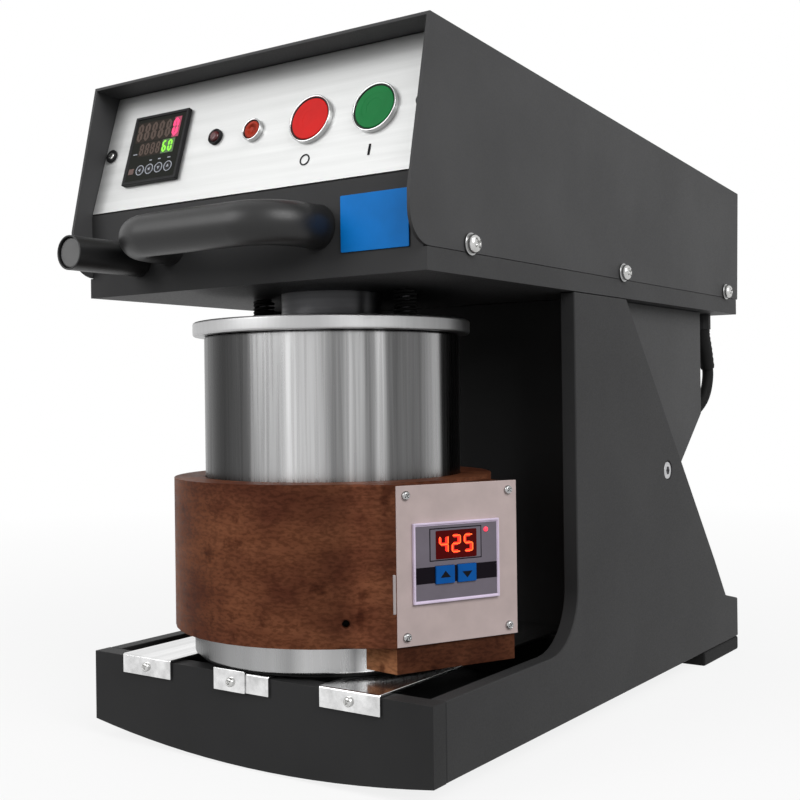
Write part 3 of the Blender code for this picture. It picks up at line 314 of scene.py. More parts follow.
def joined(name, pieces):
    """Several loose shapes made one piece."""
    hold(pieces[0])
    for piece in pieces:
        piece.select_set(True)
    bpy.ops.object.join()
    return named(name)


def dress(piece, material):
    """Give a piece one finish and no other."""
    piece.data.materials.clear()
    piece.data.materials.append(material)
    return piece


def fit(piece, body, material, replaces=()):
    """Finish a piece: its material, the body that it moves with, and what it stands for."""
    dress(piece, material)
    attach(piece, body)
    if replaces:
        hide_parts(*replaces)
    return piece


# %% [markdown]
# ## Finishes
#
# Each finish is one Principled shader. Its plain numbers sit on the shader's own sockets, and
# only what changes over the surface comes through nodes: a tint, a polish and a relief, all
# from noise that is read in metres on the piece itself. Stretching that noise along one axis
# turns it into brushing lines, which is all that tells brushed steel from cast steel.

# %% A finish and its nodes
def put(tree, kind, **values):
    """A new node in a tree; every name in values is one of its sockets."""
    node = tree.nodes.new("ShaderNode" + kind)
    for socket, value in values.items():
        node.inputs[socket.replace("_", " ")].default_value = value
    return node


def sockets_of(material):
    """The inputs of a material's shader."""
    return material.node_tree.nodes["Principled BSDF"].inputs


def finish(name, colour=(0.5, 0.5, 0.5), metallic=0.0, roughness=0.5, shine=0.5):
    """A material with its plain values on the shader's own sockets."""
    material = bpy.data.materials.new(name)
    material.use_nodes = True
    sockets = sockets_of(material)
    sockets["Base Color"].default_value = (*colour, 1)
    sockets["Metallic"].default_value = metallic
    sockets["Roughness"].default_value = roughness
    sockets["Specular IOR Level"].default_value = shine
    return material


def grain(material, scale, stretch=(1, 1, 1), centre=(0, 0, 0), detail=3.0):
    """Noise in the piece's own metres, drawn into lines where one stretch is small."""
    tree = material.node_tree
    where = put(tree, "TexCoord")
    mapping = put(tree, "Mapping", Location=[-c * s for c, s in zip(centre, stretch)], Scale=stretch)
    noise = put(tree, "TexNoise", Scale=scale, Detail=detail)
    tree.links.new(where.outputs["Object"], mapping.inputs["Vector"])
    tree.links.new(mapping.outputs["Vector"], noise.inputs["Vector"])
    return noise.outputs["Fac"]


# %% [markdown]
# What the noise does is set by four short functions. A ramp turns it into colours: the first
# one tints the finish, and each later one is multiplied onto it as a stain. A range turns it
# into roughness, and a bump node into relief.

# %% Tint, stain, polish and relief
MIX_FACTOR, MIX_FIRST, MIX_SECOND, MIX_COLOUR = 0, 6, 7, 2
NOISE_LOW, NOISE_HIGH = 0.3, 0.7


def ramp(material, pattern, stops):
    """Colours along a pattern; each stop is a place from 0 to 1 and a colour."""
    colours = put(material.node_tree, "ValToRGB")
    elements = colours.color_ramp.elements
    while len(elements) < len(stops):
        elements.new(0.5)
    for element, (place, colour) in zip(elements, stops):
        element.position = place
        element.color = (*colour, 1)
    material.node_tree.links.new(pattern, colours.inputs["Fac"])
    return colours.outputs["Color"]


def tint(material, pattern, dark, light, start=0.35, end=0.65):
    """Colour between two tones, where the pattern goes from start to end."""
    tones = ramp(material, pattern, ((start, dark), (end, light)))
    material.node_tree.links.new(tones, sockets_of(material)["Base Color"])


def stain(material, pattern, dark, start, end):
    """Darken what coloured the finish so far, where a further pattern is low."""
    tree, colour = material.node_tree, sockets_of(material)["Base Color"]
    tones = ramp(material, pattern, ((start, dark), (end, (1, 1, 1))))
    mix = put(tree, "Mix")
    mix.data_type = "RGBA"
    mix.blend_type = "MULTIPLY"
    mix.inputs[MIX_FACTOR].default_value = 1.0
    tree.links.new(colour.links[0].from_socket, mix.inputs[MIX_FIRST])
    tree.links.new(tones, mix.inputs[MIX_SECOND])
    tree.links.new(mix.outputs[MIX_COLOUR], colour)


def polish(material, pattern, low, high):
    """Roughness between two values, with the pattern."""
    tree = material.node_tree
    span = put(tree, "MapRange", From_Min=NOISE_LOW, From_Max=NOISE_HIGH, To_Min=low, To_Max=high)
    tree.links.new(pattern, span.inputs["Value"])
    tree.links.new(span.outputs["Result"], sockets_of(material)["Roughness"])


def relief(material, pattern, height, strength=0.4):
    """Small bumps of the pattern, with their height in metres."""
    tree = material.node_tree
    bump = put(tree, "Bump", Strength=strength, Distance=height)
    tree.links.new(pattern, bump.inputs["Height"])
    tree.links.new(bump.outputs["Normal"], sockets_of(material)["Normal"])


def grey(tone):
    return (tone, tone, tone)


# %% [markdown]
# ### Painted steel
#
# The frame and the head are sheet steel under a satin anthracite powder coat. Powder coat has
# a faint orange-peel relief well under a millimetre wide, and its tone drifts a little over a
# hand's breadth. Both come from noise, one fine and one broad. The head's coat is a shade
# lighter than the base's, and the pan's lies between them. The front plate's coat is darker,
# as painted shade on the faces that look forward. Hands have polished the grip.

# %% Powder coat
def powder_coat(name, tone, low=0.46, high=0.60, shine=0.12):
    coat = finish(name, (tone, tone, tone * 1.02), shine=shine)
    dark = (tone * 0.88, tone * 0.88, tone * 0.90)
    light = (tone * 1.08, tone * 1.08, tone * 1.10)
    tint(coat, grain(coat, 14, detail=5), dark, light)
    peel = grain(coat, 1100, detail=2)
    polish(coat, peel, low, high)
    relief(coat, peel, 0.00006, 0.35)
    return coat


coat_base = powder_coat("anthracite_base", 0.034)
# The front plate's darker coat is painted shade on the faces that look forward.
coat_front_shaded = powder_coat("anthracite_front_shaded", 0.026)
coat_head = powder_coat("anthracite_head", 0.060)
coat_pan = powder_coat("anthracite_pan", 0.046)
coat_grip = powder_coat("anthracite_grip", 0.011, 0.36, 0.44, 0.42)
print("painted steel:", [m.name for m in (coat_base, coat_front_shaded, coat_head, coat_pan, coat_grip)])

# %% [markdown]
# ### Bare metals
#
# Sheet is brushed along its length, turned pieces carry fine rings round their axis, and cast
# or plated ones have an even grain. One function makes all of them, because only the stretch
# of the noise and the tones differ.

# %% Brushed, turned and plated metal
LENGTHWISE, RINGS, EVEN = (0.9, 0.015, 0.9), (0.02, 0.02, 1), (1, 1, 1)


def brushed(name, dark, light, stretch, scale, low, high, height=0.000012):
    metal = finish(name, light, metallic=1.0, roughness=0.3)
    lines = grain(metal, scale, stretch, detail=4)
    tint(metal, grain(metal, scale / 6, stretch, detail=5), dark, light, NOISE_LOW, NOISE_HIGH)
    polish(metal, lines, low, high)
    relief(metal, lines, height)
    return metal


stainless_rail = brushed("stainless_brushed_along", grey(0.58), grey(0.88), LENGTHWISE, 900, 0.12, 0.26)
dark_turned = brushed("steel_blackened", (0.05, 0.05, 0.052), (0.10, 0.10, 0.104), RINGS, 800, 0.30, 0.44)
# This near-black finish is used only for the rings that paint the shade in the buttons' gaps.
gap_shade_black = brushed("gap_shade_finish", grey(0.012), grey(0.028), EVEN, 800, 0.34, 0.46)
zinc = brushed("zinc_plated", (0.48, 0.48, 0.47), (0.62, 0.62, 0.61), EVEN, 900, 0.16, 0.30)
alloy_turned = brushed("alloy_turned", grey(0.42), grey(0.54), RINGS, 700, 0.30, 0.42)
steel_turned = brushed("steel_turned", (0.40, 0.40, 0.41), (0.52, 0.52, 0.53), RINGS, 800, 0.28, 0.42)
bronze = brushed("bronze_sintered", (0.36, 0.21, 0.09), (0.46, 0.28, 0.12), EVEN, 1500, 0.35, 0.5)
chrome = brushed("chrome_polished", grey(0.50), grey(0.64), EVEN, 500, 0.06, 0.14, 0.000004)
nickel = brushed("nickel_screws", grey(0.26), grey(0.44), EVEN, 700, 0.12, 0.24)
print("metals:", [m.name for m in (stainless_rail, alloy_turned, steel_turned, chrome)])

# %% [markdown]
# ### The vessel's bands of painted reflection
#
# The drawn container, its cup and the lid show soft upright bands, some bright and some nearly
# black. They are reflections of the room in which the picture was taken, which two lamps alone
# can't give. The bands are therefore painted reflections, tones in the finish: a gradient that
# goes round the vessel's axis feeds a ramp with one stop for each band. Finer streaks lie over them.

# %% Drawn metal
VESSEL = (0.0, -0.12435)
VESSEL_AXIS = (*VESSEL, 0.0)
FACING = math.radians(-51.9)


def bands(material, tones):
    """Upright bands of painted reflection, light and shade round the vessel's axis, each tone at its degrees
    from the front right side.
    """
    tree = material.node_tree
    where = put(tree, "TexCoord")
    mapping = put(tree, "Mapping", Location=VESSEL_AXIS, Rotation=(0, 0, FACING))
    mapping.vector_type = "TEXTURE"
    around = put(tree, "TexGradient")
    around.gradient_type = "RADIAL"
    tree.links.new(where.outputs["Object"], mapping.inputs["Vector"])
    tree.links.new(mapping.outputs["Vector"], around.inputs["Vector"])
    stops = [(0.5 + degrees / 360, (tone, tone, tone * 1.005)) for degrees, tone in tones]
    return ramp(material, around.outputs["Fac"], stops)


def drawn(name, tones, streak, low=0.22, high=0.36):
    """A turned or drawn piece of the vessel: bands of painted reflection, with finer streaks on them."""
    metal = finish(name, metallic=1.0, roughness=0.3)
    metal.node_tree.links.new(bands(metal, tones), sockets_of(metal)["Base Color"])
    broad = grain(metal, 70, (1, 1, 0.03), VESSEL_AXIS, 3)
    fine = grain(metal, 600, (1, 1, 0.012), VESSEL_AXIS, 2)
    stain(metal, broad, grey(streak), 0.36, 0.60)
    stain(metal, fine, grey(streak + 0.06), 0.40, 0.60)
    polish(metal, fine, low, high)
    relief(metal, fine, 0.00001)
    return metal


# The tones of these three finishes are painted reflections, one stop for each band.
stainless_drawn = drawn("stainless_drawn", (
    (-180, 0.42), (-140, 0.55), (-118, 0.30), (-98, 0.46), (-90, 0.16), (-80, 0.020), (-53, 0.030),
    (-38, 0.11), (-34.8, 0.34), (-22.3, 0.44), (-18.4, 0.70), (-16.2, 0.58), (-5.7, 0.57), (0, 0.25),
    (4.8, 0.26), (6.9, 0.46), (8.6, 0.34), (12.1, 0.34), (14.1, 0.18), (17.2, 0.24), (18.9, 0.56),
    (21.0, 0.44), (23.2, 0.14), (28.2, 0.11), (29.7, 0.14), (39.8, 0.15), (51.6, 0.54), (54.3, 0.06),
    (78, 0.04), (92, 0.34), (130, 0.56), (180, 0.42)), 0.80)
cup_turned = drawn("stainless_cup", (
    (-180, 0.42), (-120, 0.34), (-90, 0.10), (-59, 0.14), (-45, 0.30), (-23.6, 0.40), (-17.5, 0.29),
    (-11.5, 0.50), (3.4, 0.38), (6.7, 0.16), (11.5, 0.42), (18.7, 0.26), (80, 0.16), (120, 0.36),
    (180, 0.42)), 0.94)
alloy_lid = drawn("alloy_lid", (
    (-180, 0.46), (-90, 0.50), (-37, 0.47), (-5.7, 0.44), (8, 0.54), (23.6, 0.39), (46, 0.27), (90, 0.22),
    (140, 0.40), (180, 0.46)), 0.96, 0.34, 0.44)
print("vessel:", [m.name for m in (stainless_drawn, cup_turned, alloy_lid)])

# %% [markdown]
# ### The brown collar
#
# The heated cup stands in a thick brown collar of cloth-filled laminate that has been stained
# like wood. A broad noise drifts between two browns. A noise drawn out round the collar gives
# streaks, a third one gives darker spots, and a fine one gives the threads, which also carry
# the relief. Upright bands of painted light and shade go round it as well.

# %% Brown laminate
def laminate(name, dark, light, centre=(0, 0, 0)):
    brown = finish(name, light, shine=0.05)
    tint(brown, grain(brown, 26, (1, 1, 1.2), centre, 4), dark, light, 0.36, 0.64)
    stain(brown, grain(brown, 200, (0.12, 0.12, 1), centre, 5), (0.80, 0.76, 0.74), 0.34, 0.62)
    stain(brown, grain(brown, 75, (1, 1, 0.8), centre, 6), (0.52, 0.46, 0.44), 0.30, 0.39)
    threads = grain(brown, 620, (0.45, 0.45, 1), centre, 2)
    stain(brown, threads, (0.66, 0.64, 0.62), 0.38, 0.58)
    polish(brown, threads, 0.42, 0.60)
    relief(brown, threads, 0.00016, 0.5)
    return brown


collar_brown = laminate("collar_laminate", (0.120, 0.038, 0.020), (0.235, 0.086, 0.042), VESSEL_AXIS)
# Upright bands of painted light and shade round the collar, multiplied onto its browns.
collar_light_and_shade_bands = bands(collar_brown, (
    (-180, 0.9), (-90, 0.86), (-59, 0.92), (-37, 1.0), (-17.5, 0.84), (-1, 0.64), (3.4, 0.74), (7.5, 1.05),
    (11.5, 0.95), (16.3, 0.74), (90, 0.66), (180, 0.9)))
stain(collar_brown, collar_light_and_shade_bands, grey(0), 0.0, 1.0)
# The block's darker laminate is painted shade, and its paler one is painted light on the left side.
block_brown_shaded = laminate("block_laminate_shaded", (0.062, 0.020, 0.010), (0.120, 0.044, 0.022))
block_lit = laminate("block_lit_side", (0.200, 0.075, 0.032), (0.380, 0.170, 0.080))
print("laminate:", collar_brown.name, block_brown_shaded.name, block_lit.name)

# %% [markdown]
# ### Plastics, paint and rubber
#
# Moulded pieces get a fine grain in their polish and hardly any in their colour, because a
# moulded face that is perfectly even looks like nothing at all. The last number of most of
# them is the shine, which is low on matt foil and printed marks.

# %% Moulded and painted finishes
def moulded(name, colour, low, high, shine=0.5, scale=1800, height=0.00002):
    plastic = finish(name, colour, roughness=(low + high) / 2, shine=shine)
    fine = grain(plastic, scale, detail=2)
    tint(plastic, grain(plastic, 60, detail=4), tuple(value * 0.88 for value in colour), colour)
    polish(plastic, fine, low, high)
    relief(plastic, fine, height)
    return plastic


plate_beige = moulded("plate_beige", (0.52, 0.42, 0.405), 0.36, 0.46)
frame_lilac = moulded("frame_lilac", (0.74, 0.63, 0.80), 0.30, 0.40)
face_grey = moulded("face_grey", (0.165, 0.145, 0.175), 0.40, 0.50, 0.2)
band_dark = moulded("band_dark", (0.006, 0.004, 0.007), 0.40, 0.50, 0.05)
black_case = moulded("case_black", (0.008, 0.008, 0.009), 0.34, 0.48, 0.15)
black_soft = moulded("rubber_black", (0.010, 0.010, 0.010), 0.62, 0.76, 0.15, 900, 0.00008)
counter_glass = moulded("counter_window", (0.020, 0.021, 0.018), 0.40, 0.50, 0.03)
window_brown = moulded("counter_window_brown", (0.034, 0.027, 0.022), 0.40, 0.50, 0.05)
digit_dim = moulded("digit_unlit", (0.125, 0.092, 0.078), 0.40, 0.50, 0.05)
cap_red = moulded("cap_red", (0.72, 0.016, 0.014), 0.42, 0.52, 0.12)
cap_green = moulded("cap_green", (0.008, 0.205, 0.050), 0.42, 0.52, 0.12)
lens_red = moulded("lens_red", (0.43, 0.036, 0.015), 0.22, 0.32, 0.08)
lens_dark = moulded("lens_dark", (0.090, 0.010, 0.012), 0.16, 0.26)
key_blue = moulded("key_blue", (0.006, 0.095, 0.36), 0.40, 0.50, 0.06)
key_brown = moulded("key_brown", (0.085, 0.034, 0.024), 0.40, 0.50)
sign_blue = moulded("plate_blue", (0.0, 0.22, 0.72), 0.40, 0.50, 0.12)
mark_black = moulded("mark_black", (0.006, 0.006, 0.008), 0.45, 0.55, 0.06)
mark_grey = moulded("mark_grey", (0.36, 0.38, 0.43), 0.40, 0.50)
plug_grey = moulded("plug_grey", (0.11, 0.11, 0.11), 0.30, 0.42)
tab_white = moulded("tab_white", (0.44, 0.39, 0.385), 0.40, 0.50, 0.2)
print(len(bpy.data.materials), "finishes so far")

# %% [markdown]
# Lit digits and lamps give off light of their own, at a strength low enough to keep their
# colour. The panel is brushed metal under a white lacquer, so it is only half a metal.

# %% Lit finishes and the panel
def lit(name, colour, glow, strength, shine=0.5):
    lamp = moulded(name, colour, 0.35, 0.45, shine)
    sockets_of(lamp)["Emission Color"].default_value = (*glow, 1)
    sockets_of(lamp)["Emission Strength"].default_value = strength
    return lamp


digit_red = lit("digit_red", (0.4, 0.01, 0.0), (1.0, 0.012, 0.006), 1.3)
digit_core = lit("digit_core", (0.5, 0.1, 0.0), (1.0, 0.11, 0.02), 1.3)
digit_magenta = lit("digit_magenta", (0.4, 0.01, 0.08), (1.0, 0.02, 0.16), 0.9)
digit_green = lit("digit_green", (0.08, 0.3, 0.01), (0.28, 1.0, 0.02), 0.75)
glass_red = lit("display_window", (0.020, 0.001, 0.001), (1.0, 0.0, 0.004), 0.05, 0.05)
glow_magenta = lit("glow_magenta", (0.20, 0.01, 0.05), (1.0, 0.0, 0.12), 0.16)
glow_green = lit("glow_green", (0.03, 0.08, 0.01), (0.10, 1.0, 0.0), 0.03)
led_red = lit("led_red", (0.6, 0.01, 0.02), (1.0, 0.05, 0.10), 1.2)

panel_white = brushed("panel_brushed", (0.55, 0.555, 0.55), (0.63, 0.635, 0.63), (0.02, 1, 1), 1200,
                      0.38, 0.50, 0.000006)
sockets_of(panel_white)["Metallic"].default_value = 0.45
print(len(bpy.data.materials), "finishes")

# %% [markdown]
# ## Solids with rounded edges
#
# Nothing real has a perfectly sharp edge, and the thin bright line along a rounded one is what
# makes a plate look like a plate. A loaded solid is a set of loose triangles and is never
# changed. A copy of it is merged, its flat faces are cleaned, and its edges are rounded by the
# little that a cut and painted plate has. The rails are folded over the front plate, so the
# fold gets a wider bend before the rest.

# %% Round the edges of copies
MERGE, FLAT = 0.00002, math.radians(0.6)
FOLD_RADIUS = 0.0013
RAIL_FRONT, RAIL_LOW = -0.2080, 0.0550


def softened(node, width, material, segments=3, angle=38, bend=None):
    hold(frame["nodes"][node])
    bpy.ops.object.duplicate()
    piece = named(node + "_finished")
    piece.parent = None
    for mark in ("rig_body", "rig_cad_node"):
        del piece[mark]
    edit(piece)
    bpy.ops.mesh.customdata_custom_splitnormals_clear()
    bpy.ops.mesh.remove_doubles(threshold=MERGE)
    bpy.ops.mesh.dissolve_limited(angle_limit=FLAT)
    if bend:
        pick(bend, "EDGE")
        bpy.ops.mesh.bevel(offset=FOLD_RADIUS, segments=5, affect="EDGES")
    round_edges(piece, width, segments, angle)
    return fit(piece, body_of[node], material, [node])


def is_fold(middle, along):
    """The rails' edges that run across the machine at its front, above the tab."""
    return abs(along.x) > NEARLY_STRAIGHT and middle.y < RAIL_FRONT and middle.z > RAIL_LOW


plates = {"side_plate_left": 0.0009, "side_plate_right": 0.0009, "front_plate": 0.0016,
          "column_web": 0.0005, "rear_cover": 0.0006, "rear_plate": 0.0004, "deck_plate": 0.0004,
          "head_pan": 0.0006, "hood_cover": 0.0007, "head_arm_left": 0.0008, "head_arm_right": 0.0008}
coats = {"front_plate": coat_front_shaded, "hood_cover": coat_head, "head_pan": coat_pan,
         "head_arm_left": coat_head, "head_arm_right": coat_head}
others = {"foot_front": (0.0015, black_soft), "foot_rear": (0.0015, black_soft),
          "collar": (0.0016, collar_brown), "control_block": (0.0010, block_brown_shaded),
          "control_plate": (0.0005, plate_beige), "control_panel": (0.0003, panel_white),
          "power_inlet": (0.0006, black_case)}
for node, width in plates.items():
    softened(node, width, coats.get(node, coat_base))
for node, (width, material) in others.items():
    softened(node, width, material)
for node in ("rail_left", "rail_middle", "rail_right"):
    softened(node, 0.0004, stainless_rail, bend=is_fold)

# %% [markdown]
# The block that carries the heater's control is the same laminate, made darker as painted shade.
# Its left side is painted paler, as lit, so the faces that look that way get a second material.

# %% Control block with a lit side
# The faces turned this way get the paler laminate, as painted light.
LIT_NORMAL = Vector((-0.4384, -0.8988, 0))
wood_block = bpy.data.objects["control_block_finished"]
wood_block.data.materials.append(block_lit)
edit(wood_block)
lit_side = pick(lambda middle, normal: normal.dot(LIT_NORMAL) > 0.8)
wood_block.active_material_index = 1
bpy.ops.object.material_slot_assign()
rest()
print("lit side:", lit_side, "faces")

# %% [markdown]
# The collar isn't quite round: towards the heater's control it swells out into a flat shoulder
# that meets the back of the plate. The shoulder is a block whose upright edges are moved until
# its front touches the collar like a tangent. A small hole goes in beside it, and a black disc
# at its bottom is painted shade.

# %% Shoulder of the collar
HOLE_PLACE = (*VESSEL, 0.0875)
HOLE_TURN = (0, math.radians(90), math.radians(-48.6))
shoulder = block("collar_shoulder", (0.05435, -0.20493, 0.0742), (0.08986, -0.1550, 0.1633))
edit(shoulder)
pick(lambda middle, along: is_upright(middle, along) and middle.x > 0.08 and middle.y < -0.20, "EDGE")
bpy.ops.transform.translate(value=(0, 0.02006, 0))
pick(lambda middle, along: is_upright(middle, along) and middle.x < 0.06 and middle.y > -0.16, "EDGE")
bpy.ops.transform.translate(value=(0, -0.0450, 0))
rest()
bore = drum("hole_cutter", 0.0022, 0.0900, 0.1100, sides=40)
shoulder = carve(shoulder, settle(bore, HOLE_PLACE, HOLE_TURN))
round_edges(shoulder, 0.0012, 3, 50)
fit(shoulder, "base", collar_brown)
# A black disc at the hole's bottom paints the shade in the hole.
hole_shade_disc = settle(drum("collar_hole_shade_disc", 0.0021, 0.0905, 0.0915, sides=32), HOLE_PLACE, HOLE_TURN)
fit(hole_shade_disc, "base", black_soft)
print("shoulder", [round(v, 4) for v in shoulder.dimensions])

# %% [markdown]
# ## The container and its baffles
#
# The container is a deep drum of stainless sheet. Real ones are drawn or rolled, but a solid
# drum whose top is inset by the wall and pushed down to the floor gives the same shell with
# one stroke, and keeps an even wall. Four baffles climb its wall in a slow spiral, so that the
# pulp is lifted as it turns. Each is drawn up from one short block, a step and a twist at a time.

# %% Container
CONTAINER_TOP, CONTAINER_FLOOR = 0.2487, 0.0638
container = drum("container_drawn", 0.079, 0.0608, CONTAINER_TOP, VESSEL, 160)
round_edges(hollow(container, 0.003, CONTAINER_TOP - CONTAINER_FLOOR), 0.0012)
fit(container, "base", stainless_drawn, ["container"])
print("container", [round(v, 4) for v in container.dimensions])

# %% Spiral baffles
BAFFLE_STEPS, BAFFLE_RISE, BAFFLE_TWIST = 14, 0.010, math.radians(6)
baffle = block("container_baffle_1", (0.0700, -0.0011, 0.0637), (0.0763, 0.0011, 0.0700))
edit(baffle)
pick(is_top)
for step in range(BAFFLE_STEPS):
    bpy.ops.mesh.extrude_region_move(TRANSFORM_OT_translate={"value": (0, 0, BAFFLE_RISE)})
    bpy.ops.transform.rotate(value=BAFFLE_TWIST, orient_axis="Z", center_override=(0, 0, 0))
round_edges(baffle, 0.0005, 2, 60)
baffles = [again(baffle, f"container_baffle_{k + 1}", VESSEL_AXIS, (0, 0, math.radians(90 * k)))
           for k in (1, 2, 3)]
baffles.append(settle(baffle, VESSEL_AXIS))
for piece in baffles:
    fit(piece, "base", stainless_drawn)
print("baffles:", len(baffles))

# %% [markdown]
# ## The lid, its neck and the cup
#
# The lid is a thick turned disc that floats under two springs. A plain hole for the spindle
# goes through it: both ends of a drum are inset, and the two middles are bridged. The neck is
# the same thing, taller, and the cup is made the way the container was.

# %% Lid, neck and cup
CUP_TOP, CUP_FLOOR = 0.1605, 0.0607
lid = pierce(drum("lid_disc_turned", 0.086, 0.2490, 0.2574, VESSEL, 160), 0.074)
fit(round_edges(lid, 0.0015, 4), "lid", alloy_lid, ["lid_disc"])
neck = pierce(drum("lid_sleeve_turned", 0.0312, 0.2577, 0.2770, VESSEL, 128), 0.0025)
fit(round_edges(neck, 0.0004, 2), "lid", dark_turned, ["lid_sleeve"])
cup = hollow(drum("cup_turned", 0.0865, 0.0575, CUP_TOP, VESSEL, 160), 0.0070, CUP_TOP - CUP_FLOOR)
fit(round_edges(cup, 0.0014), "base", cup_turned, ["cup"])
print("lid", [round(v, 4) for v in lid.dimensions])

# %% [markdown]
# ## Springs on the lid's studs
#
# A spring is a round wire on a helix, so it is drawn as a curve through points of the helix
# and then made a mesh. Its pitch closes towards both ends, where a real spring is ground flat.

# %% Wire helper
def wire(name, points, thickness, radii=None, sides=5):
    """A round wire or tube along a line of points, as a closed mesh."""
    rest()
    data = bpy.data.curves.new(name, "CURVE")
    data.dimensions = "3D"
    data.bevel_depth = thickness
    data.bevel_resolution = sides
    data.use_fill_caps = True
    line = data.splines.new("POLY")
    line.points.add(len(points) - 1)
    for index, point in enumerate(points):
        line.points[index].co = (*point, 1)
        line.points[index].radius = radii[index] if radii else 1.0
    piece = bpy.data.objects.new(name, data)
    bpy.context.scene.collection.objects.link(piece)
    hold(piece)
    bpy.ops.object.convert(target="MESH")
    piece = named(name)
    edit(piece)
    bpy.ops.mesh.remove_doubles(threshold=0.000001)
    bpy.ops.mesh.normals_make_consistent(inside=False)
    return smooth(piece, 50)


# %% Springs
SPRING_LOW, SPRING_HIGH, SPRING_RADIUS, SPRING_WIRE = 0.2587, 0.2740, 0.0060, 0.0010
SPRING_TURNS, STEPS_A_TURN, CLOSING = 7, 24, 0.035
for side, across in (("left", -0.056), ("right", 0.056)):
    coil = []
    for step in range(SPRING_TURNS * STEPS_A_TURN + 1):
        share = step / (SPRING_TURNS * STEPS_A_TURN)
        angle = 2 * math.pi * SPRING_TURNS * share
        rise = share - CLOSING * math.sin(4 * math.pi * share) / 2
        coil.append((across + SPRING_RADIUS * math.cos(angle),
                     VESSEL[1] + SPRING_RADIUS * math.sin(angle),
                     SPRING_LOW + (SPRING_HIGH - SPRING_LOW) * rise))
    spring = wire(f"lid_spring_{side}_wound", coil, SPRING_WIRE, sides=3)
    fit(spring, "head", black_soft, [f"lid_spring_{side}"])
    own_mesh(spring)
print("springs:", SPRING_TURNS, "turns each")

# %% [markdown]
# ## Faces to build on
#
# The panel leans back and the heater's plate is turned to one side. Small things on them are
# modelled lying flat, with their front upwards, and then turned onto the face. Each face is
# therefore kept as one place and one turn, with its own across, up and out.

# %% Faces and turns
LEAN, PAN_Y = 17.1, -0.20735
PANEL = ((0, PAN_Y, 0.3268), (math.radians(90 - LEAN), 0, 0))
PLATE = ((0.106304, -0.151164, 0.11955), (math.radians(90), 0, math.radians(64)))
RIGHT_SIDE = (0, math.radians(90), 0)
LEFT_SIDE = (0, math.radians(-90), 0)
FRONT = (math.radians(90), 0, 0)
BACK = (math.radians(90), 0, math.radians(180))
print("panel leans back", LEAN, "degrees")

# %% [markdown]
# ## Push buttons and the pilot lamp
#
# A panel button is a coloured cap that slides in a chromed ring. The ring is a pierced drum
# with a rounded rim, and its barrel goes through the panel. A thin black ring in the gap is
# painted shade, so that a dark line shows round the cap. The cap has a rounded rim and a face
# that is dished a little for a fingertip. The three caps move, so each rides on its own body,
# while the rings and the black gap rings stay with the head.

# %% Buttons
PUSH_LINE = 0.0396
RING_TOP, CAP_TOP, GAP_SHADE_TOP = 0.0030, 0.0026, 0.0021
BARREL_LOW, GAP_SHADE_LOW, CAP_LOW = -0.0125, -0.0120, -0.0165
BARREL_WALL, SLIDE = 0.0006, 0.0001


def push_button(name, across, ring_radius, bore, cap_radius, colour):
    seat = (across, PUSH_LINE)
    ring = pierce(drum(name + "_ring", ring_radius, 0.0002, RING_TOP, seat, 96), ring_radius - bore)
    bevel(ring, lambda middle, along: middle.z > 0.0029, (ring_radius - bore) * 0.48, 5)
    outer = ring_radius - BARREL_WALL
    barrel = pierce(drum(name + "_barrel", outer, BARREL_LOW, 0.0003, seat, 64), outer - bore)
    ring = smooth(joined(name + "_bezel_turned", [ring, barrel]))
    fit(settle(ring, *PANEL), "head", chrome, [name + "_bezel"])
    # A black ring in the gap round the cap paints the shade there.
    gap_shade_ring = pierce(drum(name + "_gap_shade_ring", bore + SLIDE, GAP_SHADE_LOW, GAP_SHADE_TOP, seat, 96), bore - cap_radius - SLIDE)
    fit(settle(smooth(gap_shade_ring), *PANEL), "head", gap_shade_black)
    cap = crown(drum(name + "_cap", cap_radius, CAP_LOW, CAP_TOP, seat, 96), CAP_TOP, 0.0006)
    edit(cap)
    pick(lambda middle, normal: normal.z > 0.9999 and middle.z > 0.0025)
    sink(0.0005, 0)
    sink(cap_radius * 0.25, -0.00015)
    sink(cap_radius * 0.25, -0.00010)
    fit(settle(smooth(cap), *PANEL), name, colour, [name + "_button"])


for name, across, ring_radius, bore, cap_radius, colour in (
        ("stop", 0.0441, 0.0143, 0.0132, 0.0124, cap_red),
        ("start", 0.0882, 0.0143, 0.0132, 0.0124, cap_green),
        ("reset", 0.0011, 0.00685, 0.0059, 0.0053, lens_red)):
    push_button(name, across, ring_radius, bore, cap_radius, colour)
print("3 push buttons")

# %% Pilot lamp
PILOT = (-0.0288, 0.0400)
LENS_TOP = 0.0031
pilot = hollow(drum("pilot_lamp_ring", 0.0049, -0.0140, 0.0020, PILOT), 0.0010, 0.0006)
round_edges(pilot, 0.0004)
lens = crown(drum("pilot_lamp_lens", 0.0034, 0.0010, LENS_TOP, PILOT, 48), LENS_TOP, 0.0019, 8)
fit(settle(pilot, *PANEL), "head", black_case, ["pilot_lamp"])
fit(settle(lens, *PANEL), "head", lens_dark)
print("pilot lamp at", PILOT)

# %% [markdown]
# ## Screws
#
# Every screw here is the same pan head: a short drum whose upper rim is rounded almost to its
# middle, with a cross cut into it. It is modelled once, standing on its seat, and copied in
# three sizes. A copy is turned so that its head points out of the face that it holds.

# %% One pan head
def pan_head(name, radius, height, slot_width):
    head = crown(drum(name, radius, 0, height, sides=40), height, height * 0.72, 7)
    reach, half = radius * 0.62, slot_width / 2
    for turn in (35, 125):
        cutter = block("cutter", (-reach, -half, height * 0.55), (reach, half, height * 2))
        head = carve(head, settle(cutter, turn=(0, 0, math.radians(turn))))
    return smooth(head, 40)


large = settle(pan_head("hood_screw", 0.0052, 0.0042, 0.0013), (0, 0, 0.0013))
medium = pan_head("rail_screw", 0.0028, 0.0020, 0.0007)
small = pan_head("plate_screw", 0.0025, 0.0021, 0.0006)
spring_washer = round_edges(pierce(drum("hood_washer", 0.0062, 0, 0.0014, sides=48), 0.0030), 0.0004)
print("screw heads:", [round(m.dimensions.x, 4) for m in (large, medium, small)])

